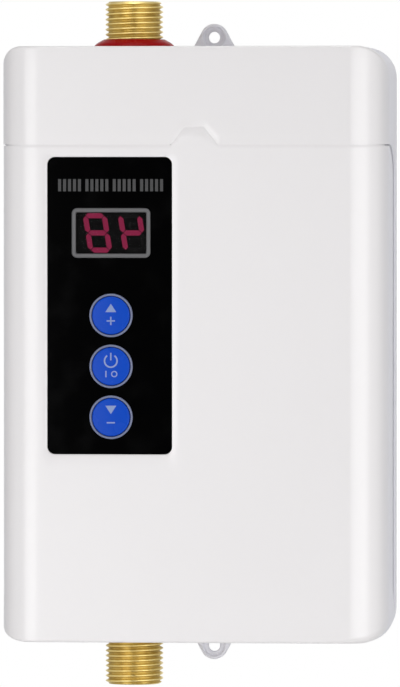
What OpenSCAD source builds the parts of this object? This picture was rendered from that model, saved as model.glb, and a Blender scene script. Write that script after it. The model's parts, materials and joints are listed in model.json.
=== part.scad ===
// Wall-mounted tankless electric water heater: two-part moulded casing, control panel
// with three push buttons, water line with flow sensor and heating tube, and its boards.
// Units are millimetres. The wall is the plane y = 0 and the front looks towards -y.
// Depths are measured from the wall, so a depth d lies at y = -d. Heights are along z.

/* [Casing] */
// Width of the casing
body_w = 140; // [134:1:170]
// Height of the casing without its lugs and fittings
body_h = 215; // [205:1:250]
// Depth of the casing from the wall to the front face
body_d = 54; // [53:0.5:70]
// Thickness of the moulded walls
wall = 2.4; // [2:0.1:2.8]
// Radius of the two long front edges
edge_r = 13; // [8:0.5:15]
// Corner radius on the left-hand side, seen from the front
corner_r_left = 7.5; // [5:0.5:12]
// Upper corner radius on the right-hand side, seen from the front
corner_r_right = 11; // [8:0.5:15]
// Lower corner radius on the right-hand side, seen from the front
corner_r_low = 9; // [8:0.5:15]
// Height of the fixed top part, above the cover's upper seam
cap_h = 35.8; // [34:0.1:42]
// Gap along the seam between cover and shell
seam_gap = 0.4; // [0.2:0.05:0.6]
// Depth of the seam on the casing's sides
seam_depth = 9; // [8:0.5:11]
// How far the seam runs back in the curve at the cover's upper corners
seam_run = 31; // [20:0.5:31.5]
// How far the seam drops in that curve
seam_drop = 10; // [6:0.5:14]
// Width of the shell's foot, which reaches under the cover as far as the water line
foot_w = 114; // [100:1:116]
// Width of the cover's tab at the seam
tab_base_w = 18.2; // [14:0.2:24]
// Width of the tab's upper edge
tab_top_w = 8.7; // [6:0.1:12]
// Height of the tab above the seam
tab_h = 6.5; // [4:0.1:9]

/* [Wall lugs] */
// Offset of the lugs from the middle of the casing
lug_x = 3.2; // [0:0.1:10]
// Height of a lug's screw hole beyond the end of the casing
lug_reach = 3.8; // [3.8:0.1:6]
// Outer radius of a lug
lug_r = 5; // [5:0.1:7]
// Width of a lug where it meets the casing
lug_base_w = 15.4; // [12:0.1:20]
// Thickness of a lug
lug_t = 3.2; // [2.6:0.1:5]
// Diameter of the screw hole
lug_hole_d = 4.2; // [3.5:0.1:5]
// Diameter of the recess for the screw head
lug_recess_d = 7.5; // [6.5:0.1:8.5]
// Depth of the recess for the screw head
lug_recess_h = 1.2; // [0.6:0.1:1.6]

/* [Water line] */
// Offset of the water line from the middle of the casing
pipe_x = -24; // [-26:0.5:-21]
// Distance from the front face back to the water line
pipe_front = 30; // [29:0.5:34]
// Outer diameter of the pipe thread (G 1/2)
thread_d = 20.955; // [20:0.005:22]
// Pitch of the pipe thread
thread_pitch = 1.814; // [1.5:0.001:2]
// Length of the thread outside the casing
thread_len = 16.5; // [12:0.5:22]
// Plain band at the tip of each thread, where a nut starts
thread_land = 1.6; // [1:0.1:3]
// Water bore of the fittings
bore_d = 14.5; // [12:0.1:15]
// Width across the flats of the fittings' inner hexagon
hex_af = 25; // [24:0.5:27]
// Outer diameter of the ring under the outlet
ring_d = 28.6; // [27:0.1:34]
// Height of the ring above the casing
ring_h = 2.8; // [2:0.1:5]
// Diameter of the push-in spigots
spigot_d = 17.9; // [17.7:0.1:18.5]
// Length of the push-in spigots
spigot_len = 8.5; // [7:0.1:10]
// Outer diameter of the flow sensor
sensor_d = 24; // [22.5:0.1:26]
// Length of the flow sensor
sensor_len = 39; // [36:0.5:46]
// Outer diameter of the heating tube
tube_d = 30; // [29:0.1:31]
// Wall thickness of the heating tube
tube_wall = 1.2; // [0.8:0.1:1.6]
// Diameter of the heating element
element_d = 6.5; // [5:0.1:7]
// Distance from the water line's axis to each leg of the heating element
element_leg = 7; // [6:0.1:8]

/* [Control panel] */
// Width of the overlay
panel_w = 45; // [40:0.5:52]
// Height of the overlay
panel_h = 107; // [100:0.5:114]
// Thickness of the overlay
panel_t = 1; // [0.8:0.1:1.2]
// Corner radius of the overlay
panel_r = 2.8; // [1:0.1:4]
// Offset of the overlay from the middle of the casing
panel_x = -30; // [-34:0.5:-26]
// Distance from the casing's top to the overlay's top edge
panel_drop = 40; // [39:0.1:44]
// Offset of display and buttons from the middle of the overlay
controls_dx = 0.5; // [-1:0.1:1]
// Distance from the casing's top to the middle of the display
display_drop = 67.3; // [64:0.1:72]
// Width of the display frame
bezel_w = 28.6; // [28:0.1:32]
// Height of the display frame
bezel_h = 18; // [17.5:0.1:20]
// Width of the display frame's line
bezel_line = 1.6; // [1.2:0.1:1.8]
// Height of a digit
digit_h = 14.3; // [12:0.1:14.4]
// Distance between the digits
digit_pitch = 12.7; // [11.6:0.1:12.7]
// Offset of the digits from the middle of the display
digit_dx = 1.2; // [0:0.1:1.2]
// Sideways lean of a digit over its height
digit_lean = 2.3; // [0:0.1:2.6]
// Distance from the casing's top to the upper button
button_drop = 97; // [95:0.1:99]
// Distance between the buttons
button_pitch = 18.35; // [17:0.05:20]
// Diameter of a button cap
button_d = 13.5; // [11:0.1:14]
// Outer diameter of a button rim
rim_d = 15.8; // [15.4:0.1:16.6]
// Stroke of a button
button_travel = 0.5; // [0.2:0.05:0.6]

/* [Electrics] */
// Width of the power board
power_w = 50; // [46:1:54]
// Height of the power board
power_h = 98; // [92:1:104]
// Offset of the power board's middle from the middle of the casing
power_x = 30; // [29.5:0.5:31]
// Height of the power board's middle
power_z = 11; // [6:1:14]
// Distance from the casing's right side to the cable entry
cable_inset = 37; // [30:0.5:42]
// Diameter of the cable entry
cable_d = 9; // [7:0.1:10]

/* [Hidden] */
$fn = 64;
// Small overlap and clearance values
eps = 0.02;
fit = 0.05;
slack = 0.3;
// Casing levels
z_top = body_h / 2;
z_seam = z_top - cap_h;
in_top = z_top - wall;
in_front = body_d - wall;
pipe_depth = body_d - pipe_front;
cable_x = body_w / 2 - cable_inset;
cable_depth = pipe_depth / 2;
floor_d = body_d - panel_t;
// Cover screws
boss_d = 8;
boss_inset = 10;
boss_low = 14;
boss_x = body_w / 2 - boss_inset;
boss_z = [boss_low - z_top, z_seam - boss_inset];
// Hooks of the cover behind the fixed top part
hook_x = 45;
hook_w = 12;
hook_t = 1.8;
hook_h = 5;
boss_seat = 6.5;
screw_head = 3.6;
cover_head_d = 6;
cover_head_h = 2.2;
cover_shank_len = 14;
pilot_d = 2.6;
// Screws of the two boards
board_head_d = 4.4;
board_head_h = 1.6;
board_shank_d = 1.9;
board_shank_len = 6;
power_head_d = 5;
power_head_h = 1.8;
power_shank_len = 6.5;
// Bushes where the heating element leaves its tube
bush_in = 8;
bush_out = 3;
bush_d = element_d + 4;
// Fitting and water line levels, from the bottom up
flange_h = 4;
// Step in the fittings' bore that a filter screen rests on
bore_step = 1.5;
seat_len = thread_len - 0.5;
crest = 0.3;
tip_bevel = 1;
thread_h = 0.64 * thread_pitch;
hole_d = thread_d + 0.5;
neck_d = thread_d + 3.5;
socket_d = spigot_d + 2 * fit;
socket_len = spigot_len + 0.5;
seal_r = 0.7;
disc_h = 4;
neck_len = socket_len + 4;
sensor_z = flange_h - in_top;
disc_z = sensor_z + sensor_len;
tube_z = disc_z + disc_h;
tube_end = in_top - flange_h - neck_len - disc_h;
tube_in = tube_d - 2 * tube_wall;
neck_out = spigot_d + 5;
// Flow rotor
rotor_bore = 15;
rotor_d = 13.6;
shaft_d = 1.5;
carrier_h = 3;
rotor_z = sensor_z + socket_len + carrier_h + 0.5;
rotor_len = sensor_len - 2 * socket_len - 2 * carrier_h - 1;
magnet_h = 3;
// Heating element, straps and the parts clamped to the tube
element_bend = 8;
exit_z = tube_end - 13;
exit_x = tube_d / 2 + 9;
strap_h = 10;
strap_t = 1;
strap_inset = 22;
strap_z = [tube_z + strap_inset, exit_z - strap_inset];
ear_w = 10;
ear_x = tube_d / 2 + 0.7 * ear_w;
pad_t = 2;
pad_x = tube_d / 2 + pad_t;
triac_w = 15.6;
triac_h = 18;
triac_t = 4.6;
triac_leg = 6;
triac_z = strap_z[0] + strap_h + triac_h - 2;
cutout_d = 16;
cutout_t = 8;
spade_w = 6;
tab_len = 9;
spade_t = 0.8;
cutout_z = strap_z[1] - strap_h - cutout_d;
earth_pad = 8;
earth_z = tube_z + earth_pad - 1;
// Controls: depths behind the front wall
controls_x = panel_x + controls_dx;
display_z = z_top - display_drop;
button_z = [for (i = [0:2]) z_top - button_drop - i * button_pitch];
module_t = 7;
module_w = 26.6;
module_h = 19;
module_d = in_front - 0.25;
segment_t = 0.15;
board_t = 1.6;
board_d = module_d - module_t;
board_left = 22;
board_right = 34;
board_below = 9;
board_above = 14;
board_x = [panel_x - board_left, panel_x + board_right];
board_z = [button_z[2] - board_below, display_z + board_above];
post_x = [board_x[0] + 4, board_x[1] - 4];
post_z = [board_z[0] + 4, board_z[1] - 4];
switch_t = 3.5;
switch_d = board_d + switch_t;
flange_d = in_front - slack;
plunger_top = flange_d - 1.9;
// Power side: depths in front of the back wall
standoff = 6;
power_d = wall + standoff + board_t;
power_left = power_x - power_w / 2;
power_low = power_z - power_h / 2;
power_high = power_z + power_h / 2;
ribbon_z = (triac_z + cutout_z) / 2;
ribbon_x = [board_x[1] - 4, power_left + 5];
block_low = 31;
block_w = 34;
block_h = 16;
block_t = 18;
pole_pitch = 10;
block_z = block_low - z_top;
block_d = wall + block_t;
clamp_low = 12;
clamp_t = 3;
clamp_x = cable_d / 2 + 6;
clamp_z = clamp_low - z_top;
clamp_d = cable_depth + cable_d / 2;
lead_d = 2.6;
lead_entry = 8;
// Parts on the power board: width, thickness and height of each
relay_w = 19;
relay_t = 15.5;
relay_h = 16;
core_w = 28;
core_t = 18;
core_h = 26;
can_d = 10;
can_t = 16;
socket_w = 17;
socket_t = 9;
// Sockets of the flat cable
plug_w = 6;
plug_t = 6;
plug_h = 11;

// Extrude a front-view shape from depth d0 to depth d1
module slab(d0, d1) {
  translate([0, -d0, 0]) rotate([90, 0, 0]) linear_extrude(d1 - d0) children();
}

// Round bar along the depth at x, z
module rod(x, z, d0, d1, dia) {
  translate([x, -d0, z]) rotate([90, 0, 0]) cylinder(d = dia, h = d1 - d0);
}

// Box between two values in x, depth and z
module brick(x, d, z) {
  translate([x[0], -d[1], z[0]]) cube([x[1] - x[0], d[1] - d[0], z[1] - z[0]]);
}

// Round bar along x at a depth and height
module crossbar(x0, x1, depth, z, dia) {
  translate([x0, -depth, z]) rotate([0, 90, 0]) cylinder(d = dia, h = x1 - x0);
}

module on_pipe() {
  translate([pipe_x, -pipe_depth, 0]) children();
}

// Upright bar on the water line
module column(z0, z1, dia) {
  on_pipe() translate([0, 0, z0]) cylinder(d = dia, h = z1 - z0);
}

// Rectangle with round corners about its middle
module rounded(w, h, r) {
  square([w - 2 * r, h], center = true);
  square([w, h - 2 * r], center = true);
  for (sx = [-1, 1], sz = [-1, 1]) {
    translate([sx * (w / 2 - r), sz * (h / 2 - r)]) circle(r);
  }
}

// Front view of the casing, moved in by a wall thickness
module outline(inset = 0) {
  w = body_w / 2 - inset;
  h = z_top - inset;
  rl = max(corner_r_left - inset, 1);
  rt = max(corner_r_right - inset, 1);
  rb = max(corner_r_low - inset, 1);
  translate([rl - w, -h]) square([w - rl + 1, 2 * h]);
  translate([-w, rl - h]) square([w + 1, 2 * (h - rl)]);
  translate([0, -h]) square([w - rb, h + 1]);
  square([w - rt, h]);
  translate([0, rb - h]) square([w, 2 * h - rb - rt]);
  for (s = [-1, 1]) translate([rl - w, s * (h - rl)]) circle(rl);
  translate([w - rt, h - rt]) circle(rt);
  translate([w - rb, rb - h]) circle(rb);
}

// Horizontal section of the casing, open towards the wall from the given depth
module section(inset = 0, back = 0) {
  w = body_w / 2 - inset;
  d = body_d - inset;
  r = max(edge_r - inset, 1);
  translate([-w, r - d]) square([2 * w, d - r - back]);
  translate([r - w, -d]) square([2 * (w - r), d - back]);
  for (s = [-1, 1]) translate([s * (w - r), r - d]) circle(r);
}

module casing_block(inset = 0, back = 0) {
  intersection() {
    slab(back, body_d + 1) outline(inset);
    linear_extrude(body_h + 2, center = true) section(inset, back);
  }
}

module casing_walls() {
  difference() {
    casing_block();
    casing_block(wall, wall);
  }
}

// Room in front of the seam, which belongs to the cover, without the shell's foot
module cover_room(grow = 0) {
  y1 = grow - seam_depth;
  z1 = z_seam + grow;
  run = seam_run + grow;
  drop = seam_drop + grow;
  low = -z_top - 5;
  curve = [for (i = [0:18]) [y1 - run * (1 - sin(5 * i)), z1 - drop * (1 - cos(5 * i))]];
  difference() {
    translate([-body_w, 0, 0]) rotate([90, 0, 90]) linear_extrude(2 * body_w) {
      polygon(concat([[y1, low], [-body_d - 5, low], [-body_d - 5, z1]], curve));
    }
    brick([grow - foot_w / 2, foot_w / 2 - grow], [-1, pipe_depth - grow], [low - 1, 1 - in_top - grow]);
  }
}

module tab_outline(grow = 0) {
  run = (tab_base_w - tab_top_w) / 2;
  side = grow * sqrt(run * run + tab_h * tab_h) / tab_h;
  lean = run / tab_h;
  low = tab_base_w / 2 + side + lean;
  high = tab_top_w / 2 + side - lean * grow;
  polygon([[-low, z_seam - 1], [low, z_seam - 1],
           [high, z_seam + tab_h + grow], [-high, z_seam + tab_h + grow]]);
}

// Lug at the top of the casing, on the wall plane
module lug() {
  zc = z_top + lug_reach;
  a = acos(lug_r / norm([lug_base_w / 2, lug_reach])) - atan(2 * lug_reach / lug_base_w);
  slab(0, lug_t) {
    translate([lug_x, zc]) circle(lug_r);
    translate([lug_x, 0]) polygon([[-lug_base_w / 2, z_top - 2], [lug_base_w / 2, z_top - 2],
      [lug_base_w / 2, z_top], [lug_r * cos(a), zc + lug_r * sin(a)],
      [-lug_r * cos(a), zc + lug_r * sin(a)], [-lug_base_w / 2, z_top]]);
  }
}

module lug_hole() {
  zc = z_top + lug_reach;
  rod(lug_x, zc, -1, lug_t + 1, lug_hole_d);
  rod(lug_x, zc, lug_t - lug_recess_h, lug_t + 1, lug_recess_d);
}

module at_cover_screws() {
  for (s = [-1, 1], z = boss_z) translate([s * boss_x, 0, z]) children();
}

module at_power_screws() {
  for (sx = [-1, 1], sz = [-1, 1]) {
    translate([power_x + sx * (power_w / 2 - 4), 0, power_z + sz * (power_h / 2 - 4)]) children();
  }
}

module at_straps() {
  for (s = [-1, 1], z = strap_z) translate([pipe_x + s * ear_x, 0, z]) children();
}

module at_board_posts() {
  for (x = post_x, z = post_z) translate([x, 0, z]) children();
}

module rear_shell() {
  color([0.87, 0.87, 0.88]) difference() {
    union() {
      difference() {
        casing_walls();
        cover_room(seam_gap);
        slab(in_front - 1, body_d + 1) tab_outline(seam_gap);
      }
      lug();
      mirror([0, 0, 1]) lug();
      at_cover_screws() rod(0, 0, 0.5, boss_seat, boss_d + 3);
      at_power_screws() rod(0, 0, wall - 0.5, wall + standoff, 6.5);
      at_straps() rod(0, 0, wall - 0.5, pipe_depth, 7);
      for (z = strap_z) {
        difference() {
          brick([pipe_x - 8, pipe_x + 8], [wall - 0.5, pipe_depth - 8], [z - 3, z + 3]);
          column(z - 4, z + 4, tube_d + 2 * fit);
        }
      }
      at_clamp_screws() rod(0, 0, wall - 0.5, clamp_d, 7);
    }
    lug_hole();
    mirror([0, 0, 1]) lug_hole();
    at_cover_screws() {
      rod(0, 0, -1, boss_seat + 1, 3.6);
      rod(0, 0, -1, screw_head, 7.2);
    }
    at_power_screws() rod(0, 0, wall, wall + standoff + 1, pilot_d - 2 * fit);
    at_straps() rod(0, 0, pipe_depth - 12, pipe_depth + 1, pilot_d - 2 * fit);
    at_clamp_screws() rod(0, 0, wall, clamp_d + 1, pilot_d - 2 * fit);
    column(in_top - 1, z_top + 1, neck_d + 2 * slack);
    column(-z_top - 1, 1 - in_top, hole_d);
    translate([cable_x, -cable_depth, -z_top - 1]) cylinder(d = cable_d + 5, h = wall + 2);
  }
}

module front_cover() {
  color([0.93, 0.93, 0.93]) difference() {
    union() {
      intersection() {
        casing_walls();
        cover_room();
      }
      slab(in_front, body_d) tab_outline();
      at_cover_screws() rod(0, 0, boss_seat, in_front + 0.5, boss_d);
      at_board_posts() rod(0, 0, board_d, in_front + 0.5, 6);
      for (s = [-1, 1]) {
        xs = [s * hook_x - hook_w / 2, s * hook_x + hook_w / 2];
        back = in_front - slack - hook_t;
        brick(xs, [back, in_front + 0.5], [z_seam - 1.5 * hook_h, z_seam]);
        brick(xs, [back, in_front - slack], [z_seam - 1, z_seam + hook_h]);
      }
    }
    slab(floor_d, body_d + 1) overlay_shape(fit);
    slab(in_front - 1, body_d) translate([controls_x, display_z]) {
      square([bezel_w - 2 * bezel_line, bezel_h - 2 * bezel_line], center = true);
    }
    for (z = button_z) rod(controls_x, z, in_front - 1, body_d, button_d + 2 * slack);
    at_cover_screws() rod(0, 0, boss_seat - 1, boss_seat + cover_shank_len, pilot_d);
    at_board_posts() rod(0, 0, board_d - 1, board_d + 5, 2);
    column(-z_top - 1, 1 - in_top, hole_d);
  }
}

// Pan-head screw along the depth: head rear face at d, shank towards the front
module screw(d, head_d, head_h, shank_d, shank_len) {
  difference() {
    union() {
      rod(0, 0, d, d + head_h, head_d);
      rod(0, 0, d + head_h - eps, d + head_h + shank_len, shank_d);
    }
    for (a = [0, 90]) translate([0, -d, 0]) rotate([0, a, 0]) {
      cube([head_d * 0.6, head_h, head_d * 0.16], center = true);
    }
  }
}

// The same screw driven from the front: head front face at d, shank towards the wall
module screw_in(d, head_d, head_h, shank_d, shank_len) {
  translate([0, -d, 0]) mirror([0, 1, 0]) screw(0, head_d, head_h, shank_d, shank_len);
}

module cover_screws() {
  color([0.6, 0.6, 0.62]) at_cover_screws() {
    screw(screw_head - cover_head_h, cover_head_d, cover_head_h, pilot_d - 2 * fit, cover_shank_len);
  }
}

// Front view of the overlay, or of its recess
module overlay_shape(grow = 0) {
  translate([panel_x, z_top - panel_drop - panel_h / 2]) {
    rounded(panel_w + 2 * grow, panel_h + 2 * grow, panel_r + grow);
  }
}

module control_overlay() {
  color([0.03, 0.03, 0.03]) difference() {
    slab(floor_d, body_d) overlay_shape();
    slab(floor_d - 1, body_d + 1) translate([controls_x, display_z]) {
      rounded(bezel_w + 2 * fit, bezel_h + 2 * fit, 2 + fit);
    }
    for (z = button_z) rod(controls_x, z, floor_d - 1, body_d + 1, rim_d + 2 * fit);
  }
}

module display_bezel() {
  color([0.45, 0.45, 0.46]) translate([controls_x, 0, display_z]) difference() {
    slab(floor_d, body_d + 0.2) rounded(bezel_w, bezel_h, 2);
    slab(floor_d - 1, body_d + 1) {
      rounded(bezel_w - 2 * bezel_line, bezel_h - 2 * bezel_line, 1);
    }
  }
}

module display_window() {
  g = bezel_line + fit;
  color([0.1, 0.1, 0.1, 0.5]) translate([controls_x, 0, display_z]) {
    slab(floor_d, body_d) rounded(bezel_w - 2 * g, bezel_h - 2 * g, 1 - fit);
  }
}

module button_rims() {
  color([0.7, 0.7, 0.73]) for (z = button_z) translate([controls_x, -floor_d, z]) {
    rotate([90, 0, 0]) rotate_extrude() {
      polygon([[button_d / 2 + slack, 0], [rim_d / 2, 0], [rim_d / 2, panel_t + 0.1],
               [rim_d / 2 - 0.3, panel_t + 0.4], [button_d / 2 + slack, panel_t + 0.4]]);
    }
  }
}

// Button cap with its hidden flange and stem, about its own axis
module button_cap(z) {
  r = button_d / 2;
  top = body_d + 0.8;
  translate([controls_x, 0, z]) rotate([90, 0, 0]) rotate_extrude() {
    polygon([[0, plunger_top], [2, plunger_top], [2, flange_d - 1], [r + 1, flange_d - 1],
             [r + 1, flange_d], [r, flange_d], [r, top - 0.5], [r - 0.6, top], [0, top]]);
  }
}

module up_button() {
  color([0.08, 0.27, 0.72]) button_cap(button_z[0]);
}

module power_button() {
  color([0.08, 0.27, 0.72]) button_cap(button_z[1]);
}

module down_button() {
  color([0.08, 0.27, 0.72]) button_cap(button_z[2]);
}

module plunger(z) {
  rod(controls_x, z, switch_d - 0.6, plunger_top, 3.4);
}

module up_plunger() {
  color([0.15, 0.15, 0.15]) plunger(button_z[0]);
}

module power_plunger() {
  color([0.15, 0.15, 0.15]) plunger(button_z[1]);
}

module down_plunger() {
  color([0.15, 0.15, 0.15]) plunger(button_z[2]);
}

module control_board() {
  color([0.1, 0.4, 0.2]) difference() {
    brick(board_x, [board_d - board_t, board_d], board_z);
    at_board_posts() rod(0, 0, board_d - board_t - 1, board_d + 1, 2.4);
  }
}

module board_screws() {
  color([0.6, 0.6, 0.62]) at_board_posts() {
    screw(board_d - board_t - board_head_h, board_head_d, board_head_h, board_shank_d, board_shank_len);
  }
}

module display_module() {
  color([0.12, 0.12, 0.12]) translate([controls_x, 0, display_z]) {
    brick([-module_w / 2, module_w / 2], [board_d, module_d], [-module_h / 2, module_h / 2]);
  }
}

// One bar of a digit: middle, half length, half thickness, upright or level, leaning
function lean(p) = [p[0] - digit_lean * p[1] / digit_h, p[1]];
function bar(c, l, t, upright) = [for (p = [[-l, 0], [t - l, t], [l - t, t], [l, 0], [l - t, -t],
  [t - l, -t]]) lean(upright ? [c[0] + p[1], c[1] + p[0]] : [c[0] + p[0], c[1] + p[1]])];

// Bars in the usual order: top, upper right, lower right, bottom, lower left, upper left, middle
module digit(x, bars) {
  t = digit_h * 0.065;
  h = digit_h / 2 - t;
  w = digit_h * 0.24;
  at = [[0, h], [w, h / 2], [w, -h / 2], [0, -h], [-w, -h / 2], [-w, h / 2], [0, 0]];
  slab(module_d, module_d + segment_t) translate([controls_x + digit_dx + x, display_z]) {
    for (i = bars) polygon(bar(at[i], (i % 3 == 0 ? w : h / 2) - 0.15, t, i % 3 != 0));
  }
}

module lit_segments() {
  color([0.8, 0.1, 0.25]) {
    digit(-digit_pitch / 2, [0:6]);
    digit(digit_pitch / 2, [1, 4, 5, 6]);
  }
}

module dark_segments() {
  color([0.25, 0.22, 0.23]) digit(digit_pitch / 2, [0, 2, 3]);
}

module tact_switches() {
  color([0.2, 0.2, 0.2]) for (z = button_z) difference() {
    brick([controls_x - 3, controls_x + 3], [board_d, switch_d], [z - 3, z + 3]);
    rod(controls_x, z, switch_d - 1.1 - button_travel, switch_d + 1, 3.6);
  }
}

module control_chip() {
  d = board_d - board_t;
  color([0.1, 0.1, 0.1]) translate([board_x[0] + 6, 0, ribbon_z]) {
    brick([-3.8, 3.8], [d - 2, d], [-5, 5]);
    for (s = [-1, 1], i = [-3:3]) {
      brick([s * 4.3 - 0.6, s * 4.3 + 0.6], [d - 0.3, d], [i * 1.27 - 0.2, i * 1.27 + 0.2]);
    }
  }
}

module ribbon_sockets() {
  d = board_d - board_t;
  w = plug_w / 2;
  h = plug_h / 2;
  color([0.9, 0.88, 0.8]) {
    translate([ribbon_x[0], 0, ribbon_z]) brick([-w, w], [d - plug_t, d], [-h, h]);
    translate([ribbon_x[1], 0, ribbon_z]) brick([-w, w], [power_d, power_d + plug_t], [-h, h]);
  }
}

// Flat cable in a shallow S between the two sockets
module board_ribbon() {
  a = board_d - board_t - plug_t;
  b = power_d + plug_t;
  n = 12;
  t = 0.45;
  mid = [for (i = [0:n]) let (s = i / n) [
    ribbon_x[0] + (ribbon_x[1] - ribbon_x[0]) * (1 - cos(180 * s)) / 2, -a + (a - b) * s]];
  color([0.75, 0.75, 0.77]) translate([0, 0, ribbon_z - 4.5]) linear_extrude(9) {
    polygon(concat([for (p = mid) [p[0] - t, p[1]]], [for (i = [n:-1:0]) [mid[i][0] + t, mid[i][1]]]));
  }
}

// Male fitting about its own axis: z = 0 is the casing's outer face, +z points out
function ridge(z) = [[thread_d / 2 - thread_h, z - (thread_pitch - crest) / 2],
  [thread_d / 2, z - crest / 2], [thread_d / 2, z + crest / 2],
  [thread_d / 2 - thread_h, z + (thread_pitch - crest) / 2]];

module fitting() {
  root = thread_d / 2 - thread_h;
  top = thread_len - tip_bevel;
  first = top - thread_land + crest / 2;
  n = floor((first + wall) / thread_pitch);
  ridges = [for (i = [n:-1:1]) each ridge(first - thread_pitch * i)];
  band = [[root, first - (thread_pitch - crest) / 2], [thread_d / 2, top - thread_land],
          [thread_d / 2, top]];
  low = -wall - flange_h;
  difference() {
    union() {
      rotate_extrude() polygon(concat([[bore_d / 2 - 1, -wall - 1], [root, -wall - 1]], ridges, band,
        [[root - 0.2, thread_len], [bore_d / 2 - 1, thread_len]]));
      translate([0, 0, low]) cylinder(d = hex_af / cos(30), h = flange_h, $fn = 6);
      rotate_extrude() polygon([[bore_d / 2 - 1, low + eps], [bore_d / 2 - 1, low - spigot_len],
        [spigot_d / 2 - 0.5, low - spigot_len], [spigot_d / 2, low - spigot_len + 0.5],
        [spigot_d / 2, low - spigot_len + 2], [spigot_d / 2 - 1.45, low - spigot_len + 2],
        [spigot_d / 2 - 1.45, low - spigot_len + 4], [spigot_d / 2, low - spigot_len + 4],
        [spigot_d / 2, low + eps]]);
    }
    translate([0, 0, low - spigot_len - 1]) {
      cylinder(d = bore_d - bore_step, h = thread_len - low + spigot_len + 2);
    }
    translate([0, 0, thread_len - seat_len]) cylinder(d = bore_d, h = seat_len + 1);
  }
}

module outlet_fitting() {
  color([0.75, 0.6, 0.3]) on_pipe() translate([0, 0, z_top]) fitting();
}

module inlet_fitting() {
  color([0.75, 0.6, 0.3]) on_pipe() mirror([0, 0, 1]) translate([0, 0, z_top]) fitting();
}

module outlet_ring() {
  r = hole_d / 2;
  color([0.75, 0.1, 0.12]) on_pipe() translate([0, 0, z_top]) rotate_extrude() {
    polygon([[r, -wall + 0.2], [neck_d / 2, -wall + 0.2], [neck_d / 2, 0], [ring_d / 2, 0],
             [ring_d / 2, ring_h * 0.2], [r + ring_h * 0.2, ring_h], [r, ring_h]]);
  }
}

module sealing_rings() {
  low = spigot_len - 3;
  color([0.05, 0.05, 0.05]) {
    for (z = [sensor_z + low, disc_z - low, in_top - flange_h - low]) {
      on_pipe() translate([0, 0, z]) rotate_extrude() translate([spigot_d / 2 - 0.7, 0]) circle(seal_r);
    }
  }
}

module flow_sensor_body() {
  end = sensor_z + sensor_len;
  mid = sensor_z + sensor_len / 2;
  color([0.15, 0.15, 0.16]) difference() {
    union() {
      column(sensor_z, end, sensor_d);
      brick([pipe_x - 7, pipe_x + 7], [pipe_depth, pipe_depth + sensor_d / 2 + 1.5], [mid - 8, mid + 8]);
    }
    column(sensor_z - 1, sensor_z + socket_len, socket_d);
    column(sensor_z, end, rotor_bore);
    column(end - socket_len, end + 1, socket_d);
  }
}

module rotor_carriers() {
  ends = [sensor_z + socket_len, sensor_z + sensor_len - socket_len - carrier_h];
  color([0.9, 0.9, 0.88]) for (z = ends) on_pipe() translate([0, 0, z]) linear_extrude(carrier_h) {
    difference() {
      circle(d = rotor_bore - 2 * fit);
      difference() {
        circle(d = rotor_bore - 2);
        circle(d = 4.4);
        for (a = [45, 165, 285]) rotate(a) translate([1, -0.6]) square([rotor_bore / 2 - 1.5, 1.2]);
      }
      circle(d = shaft_d + 2 * fit);
    }
  }
}

module rotor_shaft() {
  color([0.8, 0.8, 0.82]) column(rotor_z - carrier_h, rotor_z + rotor_len + carrier_h, shaft_d);
}

module flow_rotor() {
  blade_h = rotor_len - magnet_h - 1;
  color([0.2, 0.35, 0.8]) on_pipe() translate([0, 0, rotor_z]) difference() {
    union() {
      cylinder(d = 5, h = rotor_len);
      intersection() {
        cylinder(d = rotor_d, h = blade_h);
        for (a = [45:90:315]) rotate(a) translate([1, 0, blade_h / 2]) rotate([30, 0, 0]) {
          translate([0, -0.5, -blade_h]) cube([rotor_d, 1, 2 * blade_h]);
        }
      }
    }
    translate([0, 0, -1]) cylinder(d = shaft_d + 2 * fit, h = rotor_len + 2);
  }
}

module rotor_magnet() {
  z = rotor_z + rotor_len - magnet_h - 0.5;
  color([0.3, 0.3, 0.32]) difference() {
    column(z, z + magnet_h, 9);
    column(z - 1, z + magnet_h + 1, 5 + 2 * fit);
  }
}

module hall_sensor() {
  d = pipe_depth + sensor_d / 2 + 1.5;
  z = sensor_z + sensor_len / 2;
  color([0.1, 0.4, 0.2]) {
    brick([pipe_x - 5.5, pipe_x + 5.5], [d, d + 1.2], [z - 6, z + 6]);
    brick([pipe_x - 2, pipe_x + 2], [d + 1.2 - eps, d + 2.8], [z - 1.5, z + 1.5]);
  }
}

// Bars along x at the two legs of the heating element
module at_legs() {
  for (s = [-1, 1]) translate([0, s * element_leg, 0]) children();
}

// Flat seat on the tube's right side, by half width, height and half height
module tube_pad(half_w, z, half_h) {
  brick([pipe_x, pipe_x + pad_x], [pipe_depth - half_w, pipe_depth + half_w], [z - half_h, z + half_h]);
}

module heating_tube() {
  hole = element_d + 2 * fit;
  color([0.75, 0.76, 0.78]) difference() {
    union() {
      column(tube_z, tube_end, tube_d);
      tube_pad(triac_w / 2 + 1, triac_z, triac_h / 2 + 2);
      tube_pad(cutout_d / 2 + 1, cutout_z, cutout_d / 2 + 1);
      tube_pad(earth_pad / 2, earth_z, earth_pad / 2);
    }
    column(tube_z - 1, tube_end + 1, tube_in);
    at_legs() crossbar(pipe_x, pipe_x + tube_d, pipe_depth, exit_z, hole);
    crossbar(pipe_x + pad_x - 1.6, pipe_x + pad_x + 1, pipe_depth, earth_z, pilot_d);
  }
}

module lower_tube_cap() {
  color([0.7, 0.7, 0.72]) on_pipe() translate([0, 0, disc_z]) rotate_extrude() {
    s = spigot_d / 2;
    b = bore_d / 2;
    polygon([[b, -spigot_len], [s - 0.5, -spigot_len], [s, 0.5 - spigot_len], [s, 2 - spigot_len],
      [s - 1.45, 2 - spigot_len], [s - 1.45, 4 - spigot_len], [s, 4 - spigot_len], [s, 0],
      [tube_d / 2, 0], [tube_d / 2, disc_h], [tube_in / 2 - fit, disc_h],
      [tube_in / 2 - fit, disc_h + 3], [b, disc_h + 3]]);
  }
}

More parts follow.
